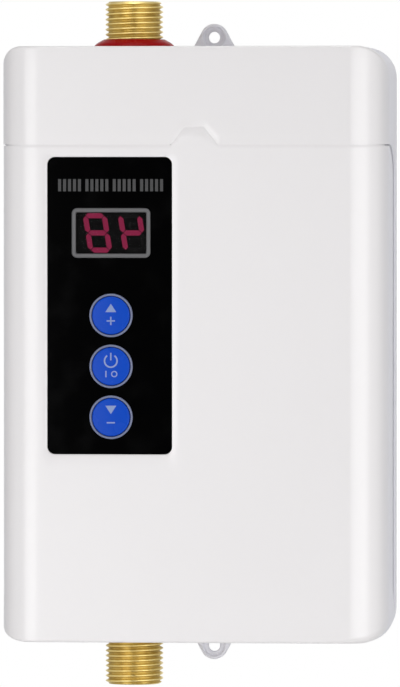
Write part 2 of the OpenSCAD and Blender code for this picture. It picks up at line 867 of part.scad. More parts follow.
module upper_tube_cap() {
  tip = pipe_x + neck_out / 2;
  color([0.7, 0.7, 0.72]) difference() {
    on_pipe() translate([0, 0, tube_end]) rotate_extrude() {
      b = bore_d / 2;
      polygon([[b, -3], [tube_in / 2 - fit, -3], [tube_in / 2 - fit, 0], [tube_d / 2, 0],
        [tube_d / 2, disc_h], [neck_out / 2, disc_h], [neck_out / 2, disc_h + neck_len],
        [socket_d / 2, disc_h + neck_len], [socket_d / 2, disc_h + neck_len - socket_len],
        [b, disc_h + neck_len - socket_len]]);
    }
    crossbar(pipe_x, tip + 1, pipe_depth, tube_end + disc_h + 2, 2.4 + 2 * fit);
  }
}

// One leg of the heating element, from the loop's end up and out to the right
module element_leg_shape() {
  low = tube_z + 3 + 4 + element_leg + element_d / 2;
  bend_z = exit_z - element_bend;
  translate([0, 0, low]) cylinder(d = element_d, h = bend_z - low);
  translate([element_bend, 0, bend_z]) rotate([90, 0, 180]) rotate_extrude(angle = 90) {
    translate([element_bend, 0]) circle(d = element_d);
  }
  translate([element_bend, 0, exit_z]) rotate([0, 90, 0]) cylinder(d = element_d, h = exit_x - element_bend);
}

module heating_element() {
  low = tube_z + 3 + 4 + element_leg + element_d / 2;
  color([0.55, 0.55, 0.57]) on_pipe() {
    at_legs() element_leg_shape();
    translate([0, 0, low]) rotate([0, 90, 0]) rotate([0, 0, -90]) rotate_extrude(angle = 180) {
      translate([element_leg, 0]) circle(d = element_d);
    }
  }
}

module element_bushes() {
  color([0.75, 0.6, 0.3]) difference() {
    at_legs() crossbar(pipe_x + bush_in, pipe_x + exit_x - bush_out, pipe_depth, exit_z, bush_d);
    at_legs() crossbar(pipe_x, pipe_x + exit_x, pipe_depth, exit_z, element_d + 2 * fit);
    column(exit_z - bush_d, exit_z + bush_d, tube_d + 2 * fit);
  }
}

module element_tabs() {
  x = pipe_x + exit_x;
  color([0.8, 0.8, 0.82]) at_legs() {
    crossbar(x, x + 3, pipe_depth, exit_z, 3);
    brick([x + 2, x + tab_len], [pipe_depth - spade_t / 2, pipe_depth + spade_t / 2],
          [exit_z - spade_w / 2, exit_z + spade_w / 2]);
  }
}

module tube_straps() {
  ri = tube_d / 2 + fit;
  color([0.75, 0.76, 0.78]) for (z = strap_z) difference() {
    union() {
      on_pipe() translate([0, 0, z - strap_h / 2]) rotate(180) rotate_extrude(angle = 180) {
        translate([ri, 0]) square([strap_t, strap_h]);
      }
      for (s = [-1, 1]) {
        xs = [pipe_x + s * (ri + eps), pipe_x + s * (ear_x + 0.4 * ear_w)];
        brick([min(xs), max(xs)], [pipe_depth, pipe_depth + strap_t], [z - strap_h / 2, z + strap_h / 2]);
      }
    }
    for (s = [-1, 1]) rod(pipe_x + s * ear_x, z, pipe_depth - 1, pipe_depth + 3, 3.2);
  }
}

module strap_screws() {
  d = pipe_depth + strap_t + 2;
  color([0.6, 0.6, 0.62]) at_straps() screw_in(d, 5.4, 2, pilot_d - 4 * fit, 11);
}

module thermal_cutout() {
  x = pipe_x + pad_x;
  color([0.16, 0.13, 0.11]) {
    crossbar(x, x + 1.4, pipe_depth, cutout_z, cutout_d);
    crossbar(x + 1.4 - eps, x + cutout_t, pipe_depth, cutout_z, cutout_d - 2);
    for (s = [-1, 1]) {
      d = pipe_depth + s * cutout_d / 4;
      brick([x + cutout_t - 1, x + 1.5 * cutout_t], [d - spade_t / 2, d + spade_t / 2],
            [cutout_z - spade_w / 2, cutout_z + spade_w / 2]);
    }
  }
}

module triac() {
  x = pipe_x + pad_x;
  low = triac_z - triac_h / 2 + 1;
  color([0.12, 0.12, 0.12]) {
    brick([x, x + triac_t], [pipe_depth - triac_w / 2, pipe_depth + triac_w / 2], [low, low + triac_h]);
    for (i = [-1:1]) {
      d = pipe_depth + i * triac_w / 3;
      brick([x + 1.8, x + 1.8 + spade_t], [d - 0.6, d + 0.6], [low - triac_leg, low + 1]);
    }
  }
}

module temperature_probe() {
  x = pipe_x + neck_out / 2;
  z = tube_end + disc_h + 2;
  color([0.75, 0.6, 0.3]) {
    crossbar(pipe_x + bore_d / 2 - 3, x + 1, pipe_depth, z, 2.4);
    difference() {
      crossbar(pipe_x + 8, x + 7, pipe_depth, z, 3.6);
      column(z - 5, z + 5, neck_out + 2 * fit);
    }
  }
}

module power_board() {
  xs = [power_left, power_left + power_w];
  color([0.1, 0.4, 0.2]) difference() {
    brick(xs, [power_d - board_t, power_d], [power_low, power_high]);
    at_power_screws() rod(0, 0, power_d - board_t - 1, power_d + 1, 3);
  }
}

module power_board_screws() {
  color([0.6, 0.6, 0.62]) at_power_screws() {
    screw_in(power_d + power_head_h, power_head_d, power_head_h, pilot_d - 4 * fit, power_shank_len);
  }
}

module power_relay() {
  x = power_left + power_w - 6 - relay_w;
  z = power_z + core_h / 2 + 3;
  color([0.1, 0.25, 0.6]) brick([x, x + relay_w], [power_d, power_d + relay_t], [z, z + relay_h]);
}

// Laminated core with its winding between the two yokes
module transformer() {
  x = power_left + power_w - 6 - core_w;
  low = power_z - core_h / 2;
  yoke = core_h / 3;
  color([0.2, 0.2, 0.2]) {
    brick([x, x + core_w], [power_d, power_d + core_t], [low, low + yoke]);
    brick([x, x + core_w], [power_d, power_d + core_t], [low + 2 * yoke, low + core_h]);
    brick([x + core_w / 6, x + core_w * 5 / 6], [power_d + 1.5, power_d + core_t - 1.5],
          [low + yoke - 1, low + 2 * yoke + 1]);
  }
}

module filter_capacitor() {
  x = power_left + power_w - 6 - can_d / 2;
  z = power_z - core_h / 2 - 4 - can_d / 2;
  color([0.15, 0.2, 0.3]) rod(x, z, power_d, power_d + can_t, can_d);
}

// Screw terminals for the leads on the power board: mains below, heater above
module lead_sockets() {
  color([0.1, 0.5, 0.3]) {
    for (z = [power_low + 2, power_high - 2 - socket_t]) {
      brick([power_left + 11, power_left + 11 + socket_w], [power_d, power_d + socket_t], [z, z + socket_t]);
    }
  }
}

module terminal_block() {
  mid = block_z + block_h / 2;
  color([0.9, 0.9, 0.86]) difference() {
    brick([cable_x - block_w / 2, cable_x + block_w / 2], [wall, block_d], [block_z, block_z + block_h]);
    for (i = [-1:1]) {
      rod(cable_x + i * pole_pitch, mid, block_d - 7, block_d + 1, 5.2);
      translate([cable_x + i * pole_pitch, -wall - lead_entry, block_z - 1]) cylinder(d = 4, h = 6);
    }
  }
}

module terminal_screws() {
  mid = block_z + block_h / 2;
  color([0.8, 0.8, 0.82]) for (i = [-1:1]) translate([cable_x + i * pole_pitch, 0, mid]) difference() {
    rod(0, 0, block_d - 7, block_d - 2, 5.1);
    brick([-3, 3], [block_d - 3, block_d], [-0.5, 0.5]);
  }
}

module cable_grommet() {
  r = cable_d / 2;
  color([0.06, 0.06, 0.06]) translate([cable_x, -cable_depth, -z_top]) rotate_extrude() {
    polygon([[r, -1.8], [r + 3.2, -1.8], [r + 4, -1], [r + 4, 0], [r + 2.5 - fit, 0],
             [r + 2.5 - fit, wall], [r + 3.6, wall], [r + 3.6, wall + 1.6], [r, wall + 1.6]]);
  }
}

module at_clamp_screws() {
  for (s = [-1, 1]) translate([cable_x + s * clamp_x, 0, clamp_z]) children();
}

module cable_clamp() {
  half = clamp_x + 4.5;
  color([0.9, 0.9, 0.9]) difference() {
    brick([cable_x - half, cable_x + half], [clamp_d, clamp_d + clamp_t], [clamp_z - 4, clamp_z + 4]);
    at_clamp_screws() rod(0, 0, clamp_d - 1, clamp_d + clamp_t + 1, pilot_d + 0.4);
  }
}

module clamp_screws() {
  color([0.6, 0.6, 0.62]) at_clamp_screws() {
    screw_in(clamp_d + clamp_t + 2, 5.2, 2, pilot_d - 4 * fit, 9);
  }
}

// Smooth curve through stations, and a tube with n sides along it
function blend(a, b, c, d, t) = 0.5 * (2 * b + (c - a) * t + (2 * a - 5 * b + 4 * c - d) * t * t
  + (3 * b - a - 3 * c + d) * t * t * t);
function curve(p, n) = [for (i = [0:len(p) - 2]) for (k = [0:n - 1])
  blend(p[max(i - 1, 0)], p[i], p[i + 1], p[min(i + 2, len(p) - 1)], k / n), p[len(p) - 1]];
function unit(v) = v / norm(v);

module lead(stations, side) {
  n = 8;
  c = curve(stations, 4);
  m = len(c);
  ends = [stations[1] - stations[0], c[m - 1] - stations[len(stations) - 2]];
  points = [for (i = [0:m - 1]) let (
      t = unit(i == 0 ? ends[0] : i == m - 1 ? ends[1] : c[i + 1] - c[i - 1]),
      u = unit(cross(t, side)),
      v = cross(t, u))
    for (k = [0:n - 1]) c[i] + lead_d / 2 * (cos(360 * k / n) * u + sin(360 * k / n) * v)];
  faces = [for (i = [0:m - 2], k = [0:n - 1], half = [0, 1]) let (
      a = i * n + k,
      b = i * n + (k + 1) % n)
    half == 0 ? [a, b + n, b] : [a, a + n, b + n]];
  polyhedron(points, concat([[for (k = [0:n - 1]) k]], faces,
    [[for (k = [n - 1:-1:0]) (m - 1) * n + k]]));
}

module supply_leads() {
  z0 = block_z + block_h;
  z1 = power_low + 2;
  d0 = wall + lead_entry;
  d1 = power_d + socket_t / 2;
  color([0.45, 0.25, 0.12]) for (i = [0, 1]) {
    x0 = cable_x + i * pole_pitch;
    x1 = power_left + 11 + socket_w / 4 + i * socket_w / 2;
    lead([[x0, -d0, z0], [x0, -d0, z0 + 5], [(x0 + x1) / 2, -(d0 + d1) / 2, (z0 + z1) / 2],
          [x1, -d1, z1 - 3], [x1, -d1, z1]], [0, 1, 0.1]);
  }
}

module heater_leads() {
  z0 = power_high - 2;
  d0 = power_d + socket_t / 2;
  x1 = pipe_x + exit_x + tab_len;
  color([0.85, 0.85, 0.83]) for (s = [0, 1]) {
    x0 = power_left + 11 + socket_w / 4 + s * socket_w / 2;
    d1 = pipe_depth + (2 * s - 1) * element_leg;
    lead([[x0, -d0, z0], [x0, -d0, z0 + 3], [x0 - 1, -(d0 + d1) / 2, (z0 + exit_z) / 2 + 3],
          [x1 + 3, -d1, exit_z], [x1, -d1, exit_z]], [0.1, 1, 0.45]);
  }
}

module earth_lead() {
  z0 = block_z + block_h;
  d0 = wall + lead_entry;
  x0 = cable_x - pole_pitch;
  x1 = pipe_x + pad_x + 2.2;
  color([0.3, 0.6, 0.2]) lead([[x0, -d0, z0], [x0, -d0, z0 + 5],
    [(x0 + x1) / 2 + 3, -(d0 + pipe_depth) / 2, (z0 + 5 + earth_z) / 2 + 2],
    [x1 + 4, -pipe_depth, earth_z], [x1, -pipe_depth, earth_z]], [0.1, 0.2, 1]);
}

module earth_screw() {
  x = pipe_x + pad_x;
  color([0.75, 0.6, 0.3]) {
    crossbar(x, x + 2.2, pipe_depth, earth_z, 5.4);
    crossbar(x - 1.4, x + eps, pipe_depth, earth_z, pilot_d - 2 * fit);
  }
}

rear_shell();
front_cover();
cover_screws();
control_overlay();
display_bezel();
display_window();
button_rims();
up_button();
power_button();
down_button();
up_plunger();
power_plunger();
down_plunger();
control_board();
board_screws();
display_module();
lit_segments();
dark_segments();
tact_switches();
control_chip();
ribbon_sockets();
board_ribbon();
inlet_fitting();
outlet_fitting();
outlet_ring();
sealing_rings();
flow_sensor_body();
rotor_carriers();
rotor_shaft();
flow_rotor();
rotor_magnet();
hall_sensor();
heating_tube();
lower_tube_cap();
upper_tube_cap();
heating_element();
element_bushes();
element_tabs();
tube_straps();
strap_screws();
thermal_cutout();
triac();
temperature_probe();
power_board();
power_board_screws();
power_relay();
transformer();
filter_capacitor();
lead_sockets();
terminal_block();
terminal_screws();
cable_grommet();
cable_clamp();
clamp_screws();
supply_leads();
heater_leads();
earth_lead();
earth_screw();
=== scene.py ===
"""Tankless electric water heater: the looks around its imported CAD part.

The frame is the part's own: metres, wall at y = 0, front towards -Y, water line along Z.
Shapes below are worked out in millimetres as (x, depth from the wall, z), and put_mesh()
turns them into metres.
"""
import json
import math

import bmesh
import bpy
import numpy as np
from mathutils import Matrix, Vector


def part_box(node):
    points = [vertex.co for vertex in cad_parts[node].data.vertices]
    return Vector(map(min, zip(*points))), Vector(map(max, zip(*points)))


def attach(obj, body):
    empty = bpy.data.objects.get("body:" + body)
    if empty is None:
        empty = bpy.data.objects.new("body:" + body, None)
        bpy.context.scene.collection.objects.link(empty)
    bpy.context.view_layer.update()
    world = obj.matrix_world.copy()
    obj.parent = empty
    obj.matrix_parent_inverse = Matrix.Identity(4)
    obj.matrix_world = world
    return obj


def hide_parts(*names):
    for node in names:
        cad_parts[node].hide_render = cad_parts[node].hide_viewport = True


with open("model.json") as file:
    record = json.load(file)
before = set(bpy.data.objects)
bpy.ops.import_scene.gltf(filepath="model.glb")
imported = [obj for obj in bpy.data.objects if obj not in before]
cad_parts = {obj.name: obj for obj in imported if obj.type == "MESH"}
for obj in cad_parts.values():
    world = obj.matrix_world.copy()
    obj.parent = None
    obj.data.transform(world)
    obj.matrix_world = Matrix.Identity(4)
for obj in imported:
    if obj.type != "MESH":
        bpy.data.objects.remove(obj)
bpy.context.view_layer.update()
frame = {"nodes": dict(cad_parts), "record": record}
nodes = frame["nodes"]

MM = 0.001
MERGE = 0.002            # points closer than this, in mm, are one

# Casing
BODY_W, BODY_H, BODY_D = 140.0, 215.0, 54.0
WALL = 2.4
THIN_SHARE = 0.2         # what is left of the wall along edges rounded tighter than it is thick
EDGE_R = 14.2            # upright front edges
UPPER_LEFT, LOWER_LEFT = (7.5, 7.2), (9.9, 5.6)   # how far a left corner runs along x and how far it falls
CORNER_RIGHT, CORNER_LOW = 11.0, 8.2   # radii of the right corners, the lower one half way to the front
CORNER_SWELL = 2.4       # what the lower right corner's radius gains at the front and at the wall
RIM_R = 0.9              # top and bottom front edges
LOW_RIM_X, LOW_RIM_RUN, LOW_RIM_GAIN = 50.0, 14.0, 2.1   # where the lower one grows, and by how much
BACK_R = 0.5             # edges that meet the wall
FINE_BEVEL, BEVEL_FROM = 0.22, 50.0   # the other edges, from this angle in degrees
SEAM_Z, SEAM_GAP = 71.7, 0.4
SEAM_DEPTH, SEAM_RUN, SEAM_DROP = 9.0, 30.5, 10.0
LIP_T, LIP_FOOT = 0.8, 5.0   # the lip behind the seam: its thickness, and its lower end above the bottom
COVER_INSET, SLOT_W = 0.75, 0.12   # the shell's rim stands outside the cover's sides, across a slot
INSET_FROM, INSET_RUN = 44.0, 32.0   # the depth at which that step starts, and how far back it takes
INSET_FOOT, INSET_RISE = 6.0, 14.0   # the same above the bottom
FOOT_W, FOOT_DEPTH = 114.0, 24.0
TAB_X, TAB_BASE, TAB_TOP, TAB_H = 0.6, 16.8, 6.9, 6.5
LUG_X, LUG_Z, LUG_R, LUG_BASE, LUG_T = 3.2, 111.3, 5.0, 15.4, 3.2
LUG_HOLE_R, LUG_RECESS_R, LUG_RECESS = 2.1, 3.75, 1.2
SCREW_X, SCREW_Z = 60.0, (-93.5, 61.7)
SHANK_R, HEAD_R, HEAD_DEPTH, BOSS_R, BOSS_DEPTH = 1.8, 3.6, 3.6, 5.5, 6.5
CUT_LOW, CUT_HIGH, HEAD_CUT = -8.0, 8.0, -2.0   # where the hole cutters end, from the casing's outside

# Water line
PIPE_X, PIPE_DEPTH = -24.0, 24.0
THREAD_R, PITCH, THREAD_LEN = 10.4775, 1.814, 16.5
ROOT_R = THREAD_R - 0.64 * PITCH
BORE_R, NECK_R, SPIGOT_R, GROOVE_R = 7.25, 6.5, 8.95, 7.5
FITTING_END = -14.9      # inner end of a fitting, from the casing's outside
HEX_R, HEX_END = 12.5, -6.4   # the hexagon: half its width over the flats, and its inner end
INLET_HOLE_R, OUTLET_HOLE_R = 10.73, 12.5
RING_R, RING_NECK_R, RING_LOW, RING_TOP = 10.73, 12.2, -2.2, 2.8
CABLE_X, CABLE_DEPTH, CABLE_HOLE_R = 33.0, 12.0, 7.0
CABLE_R, GROMMET_NECK_R, GROMMET_TOP = 4.5, 6.95, 4.0

# Control panel
PANEL_X, PANEL_Z, PANEL_W, PANEL_H, PANEL_R = -30.0, 14.0, 45.0, 107.0, 2.8
PANEL_GAP = 0.12
PANEL_BACK = 53.02       # back of the display's frame and of the button rims
OPEN_W, OPEN_H = PANEL_W / 2 + PANEL_GAP, PANEL_H / 2 + PANEL_GAP   # half the opening for the panel
CORNER_STEPS = np.linspace(0, 1, 5)
CONTROLS_X, DISPLAY_Z = -29.5, 40.2
BEZEL_W, BEZEL_H, BEZEL_R, BEZEL_LINE = 28.6, 18.0, 2.0, 1.6
BUTTON_Z = {"up": 10.5, "power": -7.85, "down": -26.2}
BUTTON_R, RIM_IN, RIM_OUT = 6.85, 7.05, 7.85
CAP_TOP, CAP_FALL = BODY_D + 0.8, 0.22
CAP_EDGE, CAP_SHOULDER, CAP_FLANGE, STEM_R = 0.6, 51.3, 1.0, 2.0
SCALE_X, SCALE_Z = -29.66, 55.2
PRINT_PROUD, PRINT_T = 0.03, 0.05


# Mesh tools

def cells(nu, nv, wrap_u=False, wrap_v=False):
    """Corner numbers of the cells of an nu by nv grid of points, joined end to end where it wraps."""
    a, b = np.meshgrid(np.arange(nu if wrap_u else nu - 1),
                       np.arange(nv if wrap_v else nv - 1), indexing="ij")
    a, b = a.ravel(), b.ravel()
    c, d = (a + 1) % nu, (b + 1) % nv
    return np.stack([a * nv + b, c * nv + b, c * nv + d, a * nv + d], axis=1)


def sheet(points, wrap_u=False, wrap_v=False):
    """A grid of points, shape (nu, nv, 3), as (points, cells)."""
    nu, nv = points.shape[:2]
    return points.reshape(-1, 3), cells(nu, nv, wrap_u, wrap_v)


def put_mesh(name, parts, merge=True):
    """A mesh from (points, cells) parts, x, depth and z in mm: shared points are merged and the faces turned
    outwards."""
    starts = np.cumsum([0] + [len(p) for p, _ in parts[:-1]])
    points = np.concatenate([p for p, _ in parts])
    quads = np.concatenate([q + s for (_, q), s in zip(parts, starts)])
    mesh = bpy.data.meshes.new(name)
    mesh.vertices.add(len(points))
    mesh.vertices.foreach_set("co", (points * [MM, -MM, MM]).astype(np.float32).ravel())
    mesh.loops.add(quads.size)
    mesh.loops.foreach_set("vertex_index", quads.astype(np.int32).ravel())
    mesh.polygons.add(len(quads))
    mesh.polygons.foreach_set("loop_start", np.arange(0, quads.size, 4, dtype=np.int32))
    mesh.update(calc_edges=True)
    work = bmesh.new()
    work.from_mesh(mesh)
    if merge:
        bmesh.ops.remove_doubles(work, verts=work.verts, dist=MERGE * MM)
    bmesh.ops.recalc_face_normals(work, faces=work.faces)
    work.to_mesh(mesh)
    work.free()
    return mesh


def put_object(name, mesh):
    """The mesh as an object at the origin of the scene."""
    thing = bpy.data.objects.new(name, mesh)
    bpy.context.scene.collection.objects.link(thing)
    return thing


def apply_modifiers(thing, *steps):
    """Runs modifiers, given as (type, settings), in order and keeps their result as the object's mesh."""
    for kind, settings in steps:
        modifier = thing.modifiers.new(kind.lower(), kind)
        for key, value in settings.items():
            setattr(modifier, key, value)
    graph = bpy.context.evaluated_depsgraph_get()
    made = bpy.data.meshes.new_from_object(thing.evaluated_get(graph))
    thing.modifiers.clear()
    old, thing.data = thing.data, made
    bpy.data.meshes.remove(old)


def finish_piece(thing, material, body, stands_for=(), sharp=40):
    """Smooth shading with creases past the sharp angle, and the material; the piece is put on the body it
    rides on, and the nodes it stands for are hidden."""
    mesh = thing.data
    mesh.polygons.foreach_set("use_smooth", np.ones(len(mesh.polygons), dtype=bool))
    mesh.set_sharp_from_angle(angle=math.radians(sharp))
    mesh.materials.clear()
    mesh.materials.append(material)
    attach(thing, body)
    if stands_for:
        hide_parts(*stands_for)
    return thing


def make_piece(name, parts, material, body, stands_for=(), sharp=40):
    """A finished piece straight from its surfaces."""
    thing = put_object(name, put_mesh(name, parts))
    return finish_piece(thing, material, body, stands_for, sharp)


def turned_z(profile, x, depth, z, count=96):
    """A closed (radius, height) profile turned about an upright axis at (x, depth), heights above z."""
    turn = np.linspace(0, 2 * np.pi, count, endpoint=False)[:, None]
    r, h = np.asarray(profile, float).T
    return sheet(np.stack([x + r * np.cos(turn), depth + r * np.sin(turn),
                           z + h + 0 * turn], axis=2), wrap_u=True, wrap_v=True)


def turned_y(profile, x, z, count=96):
    """A closed (radius, depth) profile turned about a front-to-back axis at (x, z)."""
    turn = np.linspace(0, 2 * np.pi, count, endpoint=False)[:, None]
    r, d = np.asarray(profile, float).T
    return sheet(np.stack([x + r * np.cos(turn), d + 0 * turn, z + r * np.sin(turn)], axis=2),
                 wrap_u=True, wrap_v=True)


def arc(cx, cy, r, start, end, count=7):
    """Points on a circle about (cx, cy) from one angle to another, in degrees."""
    a = np.radians(np.linspace(start, end, count))
    return np.stack([cx + r * np.cos(a), cy + r * np.sin(a)], axis=1)


# Shader tools

class Wire:
    """A shader socket that takes part in Python arithmetic: each operator adds its Math node."""

    def __init__(self, paint, socket):
        self.paint, self.socket = paint, socket

    def math(self, operation, a, b):
        """The Math node of that operation on two values."""
        return self.paint.node("ShaderNodeMath", {"operation": operation}, [a, b])

    def __add__(self, other):
        return self.math("ADD", self, other)

    def __radd__(self, other):
        return self.math("ADD", other, self)

    def __sub__(self, other):
        return self.math("SUBTRACT", self, other)

    def __rsub__(self, other):
        return self.math("SUBTRACT", other, self)

    def __mul__(self, other):
        return self.math("MULTIPLY", self, other)

    def __rmul__(self, other):
        return self.math("MULTIPLY", other, self)


class Paint:
    """One node tree: node() adds any node, and what it gives back joins in the arithmetic."""

    def __init__(self, tree):
        self.tree = tree
        tree.nodes.clear()

    def node(self, kind, settings=None, sockets=None, out=0):
        """A node of that kind: its settings come first, then the values or links of its sockets."""
        made = self.tree.nodes.new(kind)
        for key, value in (settings or {}).items():
            setattr(made, key, value)
        pairs = sockets.items() if isinstance(sockets, dict) else enumerate(sockets or ())
        for key, value in pairs:
            if isinstance(value, Wire):
                self.tree.links.new(value.socket, made.inputs[key])
            else:
                made.inputs[key].default_value = value
        return Wire(self, made.outputs[out]) if len(made.outputs) else None

    def place(self):
        """The point on the piece, in metres."""
        return self.node("ShaderNodeTexCoord", out="Object")

    def stretched(self, x, y, z):
        """The point on the piece with each axis multiplied, for grain that runs one way."""
        return self.node("ShaderNodeVectorMath", {"operation": "MULTIPLY"},
                         [self.place(), (x, y, z)])

    def noise(self, at, scale, detail=2.0):
        """Soft noise from 0 to 1, scale waves to the metre."""
        return self.node("ShaderNodeTexNoise", {},
                         {"Vector": at, "Scale": scale, "Detail": detail})

    def steps(self, value, low, high):
        """0 up to low and 1 from high, smooth between."""
        return self.node("ShaderNodeMapRange", {"interpolation_type": "SMOOTHSTEP"},
                         {"Value": value, "From Min": low, "From Max": high})

    def blend(self, factor, a, b):
        """Colour a at factor 0 and colour b at factor 1."""
        return self.node("ShaderNodeMix", {"data_type": "RGBA"}, {0: factor, 6: a, 7: b}, out=2)

    def bump(self, height, depth_mm, strength=1.0):
        """A normal bent by a height from 0 to 1 that stands for a relief this many mm deep."""
        return self.node("ShaderNodeBump", {}, {"Strength": strength, "Distance": depth_mm * MM,
                                                "Height": height})

    def surface(self, **sockets):
        """The Principled shader; an underscore in a socket's name stands for a space."""
        named = {key.replace("_", " "): value for key, value in sockets.items()}
        shader = self.node("ShaderNodeBsdfPrincipled", {}, named)
        self.node("ShaderNodeOutputMaterial", {}, {"Surface": shader})


def new_paint(name):
    """A fresh material and the Paint of its tree."""
    material = bpy.data.materials.new(name)
    material.use_nodes = True
    return material, Paint(material.node_tree)


def shade(colour, factor):
    """A colour made lighter or darker, as a socket value."""
    return (*[min(1.0, c * factor) for c in colour[:3]], 1.0)


def moulded(name, colour, rough=0.42, grain=0.012, mottle=0.03, level=0.5):
    """Moulded plastic: slight mottling of the tone, fine grain from the tool, and worn, shinier patches."""
    material, p = new_paint(name)
    at = p.place()
    cloud = p.noise(at, 14, 3)
    fine = p.noise(at, 1700, 2)
    rubbed = p.steps(p.noise(at, 46, 4), 0.42, 0.72)
    p.surface(Base_Color=p.blend(cloud, shade(colour, 1 - mottle), shade(colour, 1 + mottle)),
              Roughness=rough - 0.09 * rubbed + 0.06 * (fine - 0.5),
              Specular_IOR_Level=level,
              Normal=p.bump(fine, grain, 0.5))
    return material


def casing_plastic(name, colour):
    """Glossy white moulding: polished front, satin sides, a painted cool shade towards the wall, painted
    shade that greys the lugs past the top and bottom of the casing, and a trace of mottling. Depth and height
    tell where a point lies."""
    material, p = new_paint(name)
    at = p.place()
    forward = p.node("ShaderNodeSeparateXYZ", {}, [at], out="Y")
    upward = p.node("ShaderNodeSeparateXYZ", {}, [at], out="Z")
    height = p.node("ShaderNodeMath", {"operation": "ABSOLUTE"}, [upward])
    # Painted shade: the lugs past the top and bottom of the casing are greyed to stand in for the shade they
    # sit in against the wall.
    painted_lug_shade = p.steps(height, BODY_H / 2 * MM, (BODY_H / 2 + 1) * MM)
    satin = p.steps(forward, -47 * MM, -40 * MM)
    fine = p.noise(at, 1700, 2)
    # Painted shade: a cooler, patchy tint towards the wall stands in for the bluish cast of the shade there.
    painted_cool_shade = p.steps(forward, -50 * MM, -36 * MM) * (0.8 + 0.4 * p.noise(at, 60, 4))
    tone = p.blend(p.noise(at, 14, 3), shade(colour, 0.985), shade(colour, 1.015))
    red, green, blue = colour
    # The tone with that painted cool shade blended in.
    tone_with_painted_cool_shade = p.blend(painted_cool_shade, tone, (0.985 * red, 1.005 * green, 1.06 * blue, 1))
    # Base colour: the casing's tone with the painted shade on the lugs.
    p.surface(Base_Color=p.blend(painted_lug_shade, tone_with_painted_cool_shade, (0.925 * red, 0.94 * green, 0.985 * blue, 1)),
              Roughness=0.28 + 0.35 * satin + 0.03 * p.noise(at, 46, 4) + 0.04 * (fine - 0.5),
              Specular_IOR_Level=1.0,
              Normal=p.bump(fine, 0.008, 0.4))
    return material


def polished(name, colour, rough=0.12, level=0.5, mottle=0.05):
    """Polished plastic: even colour, a faint ripple from moulding and dull finger marks."""
    material, p = new_paint(name)
    at = p.place()
    marks = p.steps(p.noise(at, 75, 5), 0.45, 0.75)
    ripple = p.noise(at, 120, 1)
    tone = p.blend(p.noise(at, 30, 2), shade(colour, 1 - mottle), shade(colour, 1 + mottle))
    p.surface(Base_Color=tone,
              Roughness=rough + 0.10 * marks,
              Specular_IOR_Level=level,
              Normal=p.bump(ripple, 0.01, 0.4))
    return material


def turned_metal(name, colour, tarnish, rough=0.2, lay=3000.0):
    """Turned or drawn metal: fine tool lines round the axis, patchy tarnish and duller spots."""
    material, p = new_paint(name)
    lines = p.noise(p.stretched(0.04, 0.04, 1.0), lay, 2)
    patch = p.steps(p.noise(p.place(), 160, 4), 0.46, 0.74)
    p.surface(Base_Color=p.blend(0.55 * patch, shade(colour, 1), shade(tarnish, 1)),
              Metallic=1.0,
              Roughness=rough + 0.12 * patch + 0.10 * (lines - 0.5),
              Normal=p.bump(lines, 0.006, 0.6))
    return material


def thread_brass(name):
    """Turned brass whose thread roots, told by the piece's groove attribute, hold dull oxide."""
    material, p = new_paint(name)
    groove = p.node("ShaderNodeAttribute", {"attribute_name": "groove"}, out="Fac")
    lines = p.noise(p.stretched(0.05, 0.05, 1.0), 2600, 2)
    patch = p.steps(p.noise(p.place(), 210, 4), 0.44, 0.76)
    dull = groove * (0.65 + 0.35 * patch)
    fresh = p.blend(patch, (0.93, 0.765, 0.325, 1), (0.86, 0.665, 0.235, 1))
    p.surface(Base_Color=p.blend(dull, fresh, (0.47, 0.33, 0.092, 1)),
              Metallic=1.0 - 0.12 * dull,
              Roughness=0.30 + 0.12 * dull + 0.08 * (lines - 0.5),
              Normal=p.bump(lines, 0.006, 0.5))
    return material


def rubber(name, colour):
    """Moulded rubber: dull, with a fine bloom on it."""
    material, p = new_paint(name)
    bloom = p.noise(p.place(), 260, 5)
    p.surface(Base_Color=p.blend(bloom, shade(colour, 0.7), shade(colour, 1.9)),
              Roughness=0.62 + 0.2 * bloom, Specular_IOR_Level=0.35,
              Normal=p.bump(p.noise(p.place(), 1500, 2), 0.02, 0.5))
    return material


def circuit_board(name, colour):
    """Solder mask over copper tracks: rows of tracks, brighter pads and a slight gloss."""
    material, p = new_paint(name)
    tracks = p.node("ShaderNodeTexBrick", {"offset": 0.37, "squash": 1.6},
                    {"Vector": p.place(), "Scale": 120.0, "Mortar Size": 0.05,
                     "Color1": (0, 0, 0, 1), "Color2": (0.3, 0.3, 0.3, 1), "Mortar": (1, 1, 1, 1)})
    pads = p.steps(p.noise(p.place(), 420, 1), 0.66, 0.7)
    masked = p.blend(tracks, shade(colour, 0.8), shade(colour, 1.9))
    p.surface(Base_Color=p.blend(pads, masked, (0.55, 0.5, 0.4, 1)),
              Metallic=0.6 * pads, Roughness=0.34 - 0.1 * pads,
              Normal=p.bump(pads, 0.03, 0.5))
    return material


def smoked_window(name):
    """Smoked clear plastic: dark, half see-through, with faint dust."""
    material, p = new_paint(name)
    dust = p.steps(p.noise(p.place(), 900, 3), 0.62, 0.8)
    p.surface(Base_Color=p.blend(dust, (0.004, 0.004, 0.004, 1), (0.03, 0.03, 0.03, 1)),
              Roughness=0.08 + 0.2 * dust, Specular_IOR_Level=0.1,
              Alpha=0.58 + 0.06 * dust)
    return material


def lit_bars(name, colour, strength):
    """A lit display bar: its glow varies with a slight grain."""
    material, p = new_paint(name)
    grain = p.noise(p.place(), 700, 3)
    p.surface(Base_Color=shade(colour, 0.4), Roughness=0.5,
              Emission_Color=p.blend(grain, shade(colour, 0.86), shade(colour, 1.14)),
              Emission_Strength=strength)
    return material


# Casing shapes

def front_depth(x):
    """Depth of the front face at x: flat, then a quarter circle of EDGE_R at each side."""
    over = np.clip(np.abs(x) - (BODY_W / 2 - EDGE_R), 0, EDGE_R)
    return BODY_D - EDGE_R + np.sqrt(EDGE_R ** 2 - over ** 2)


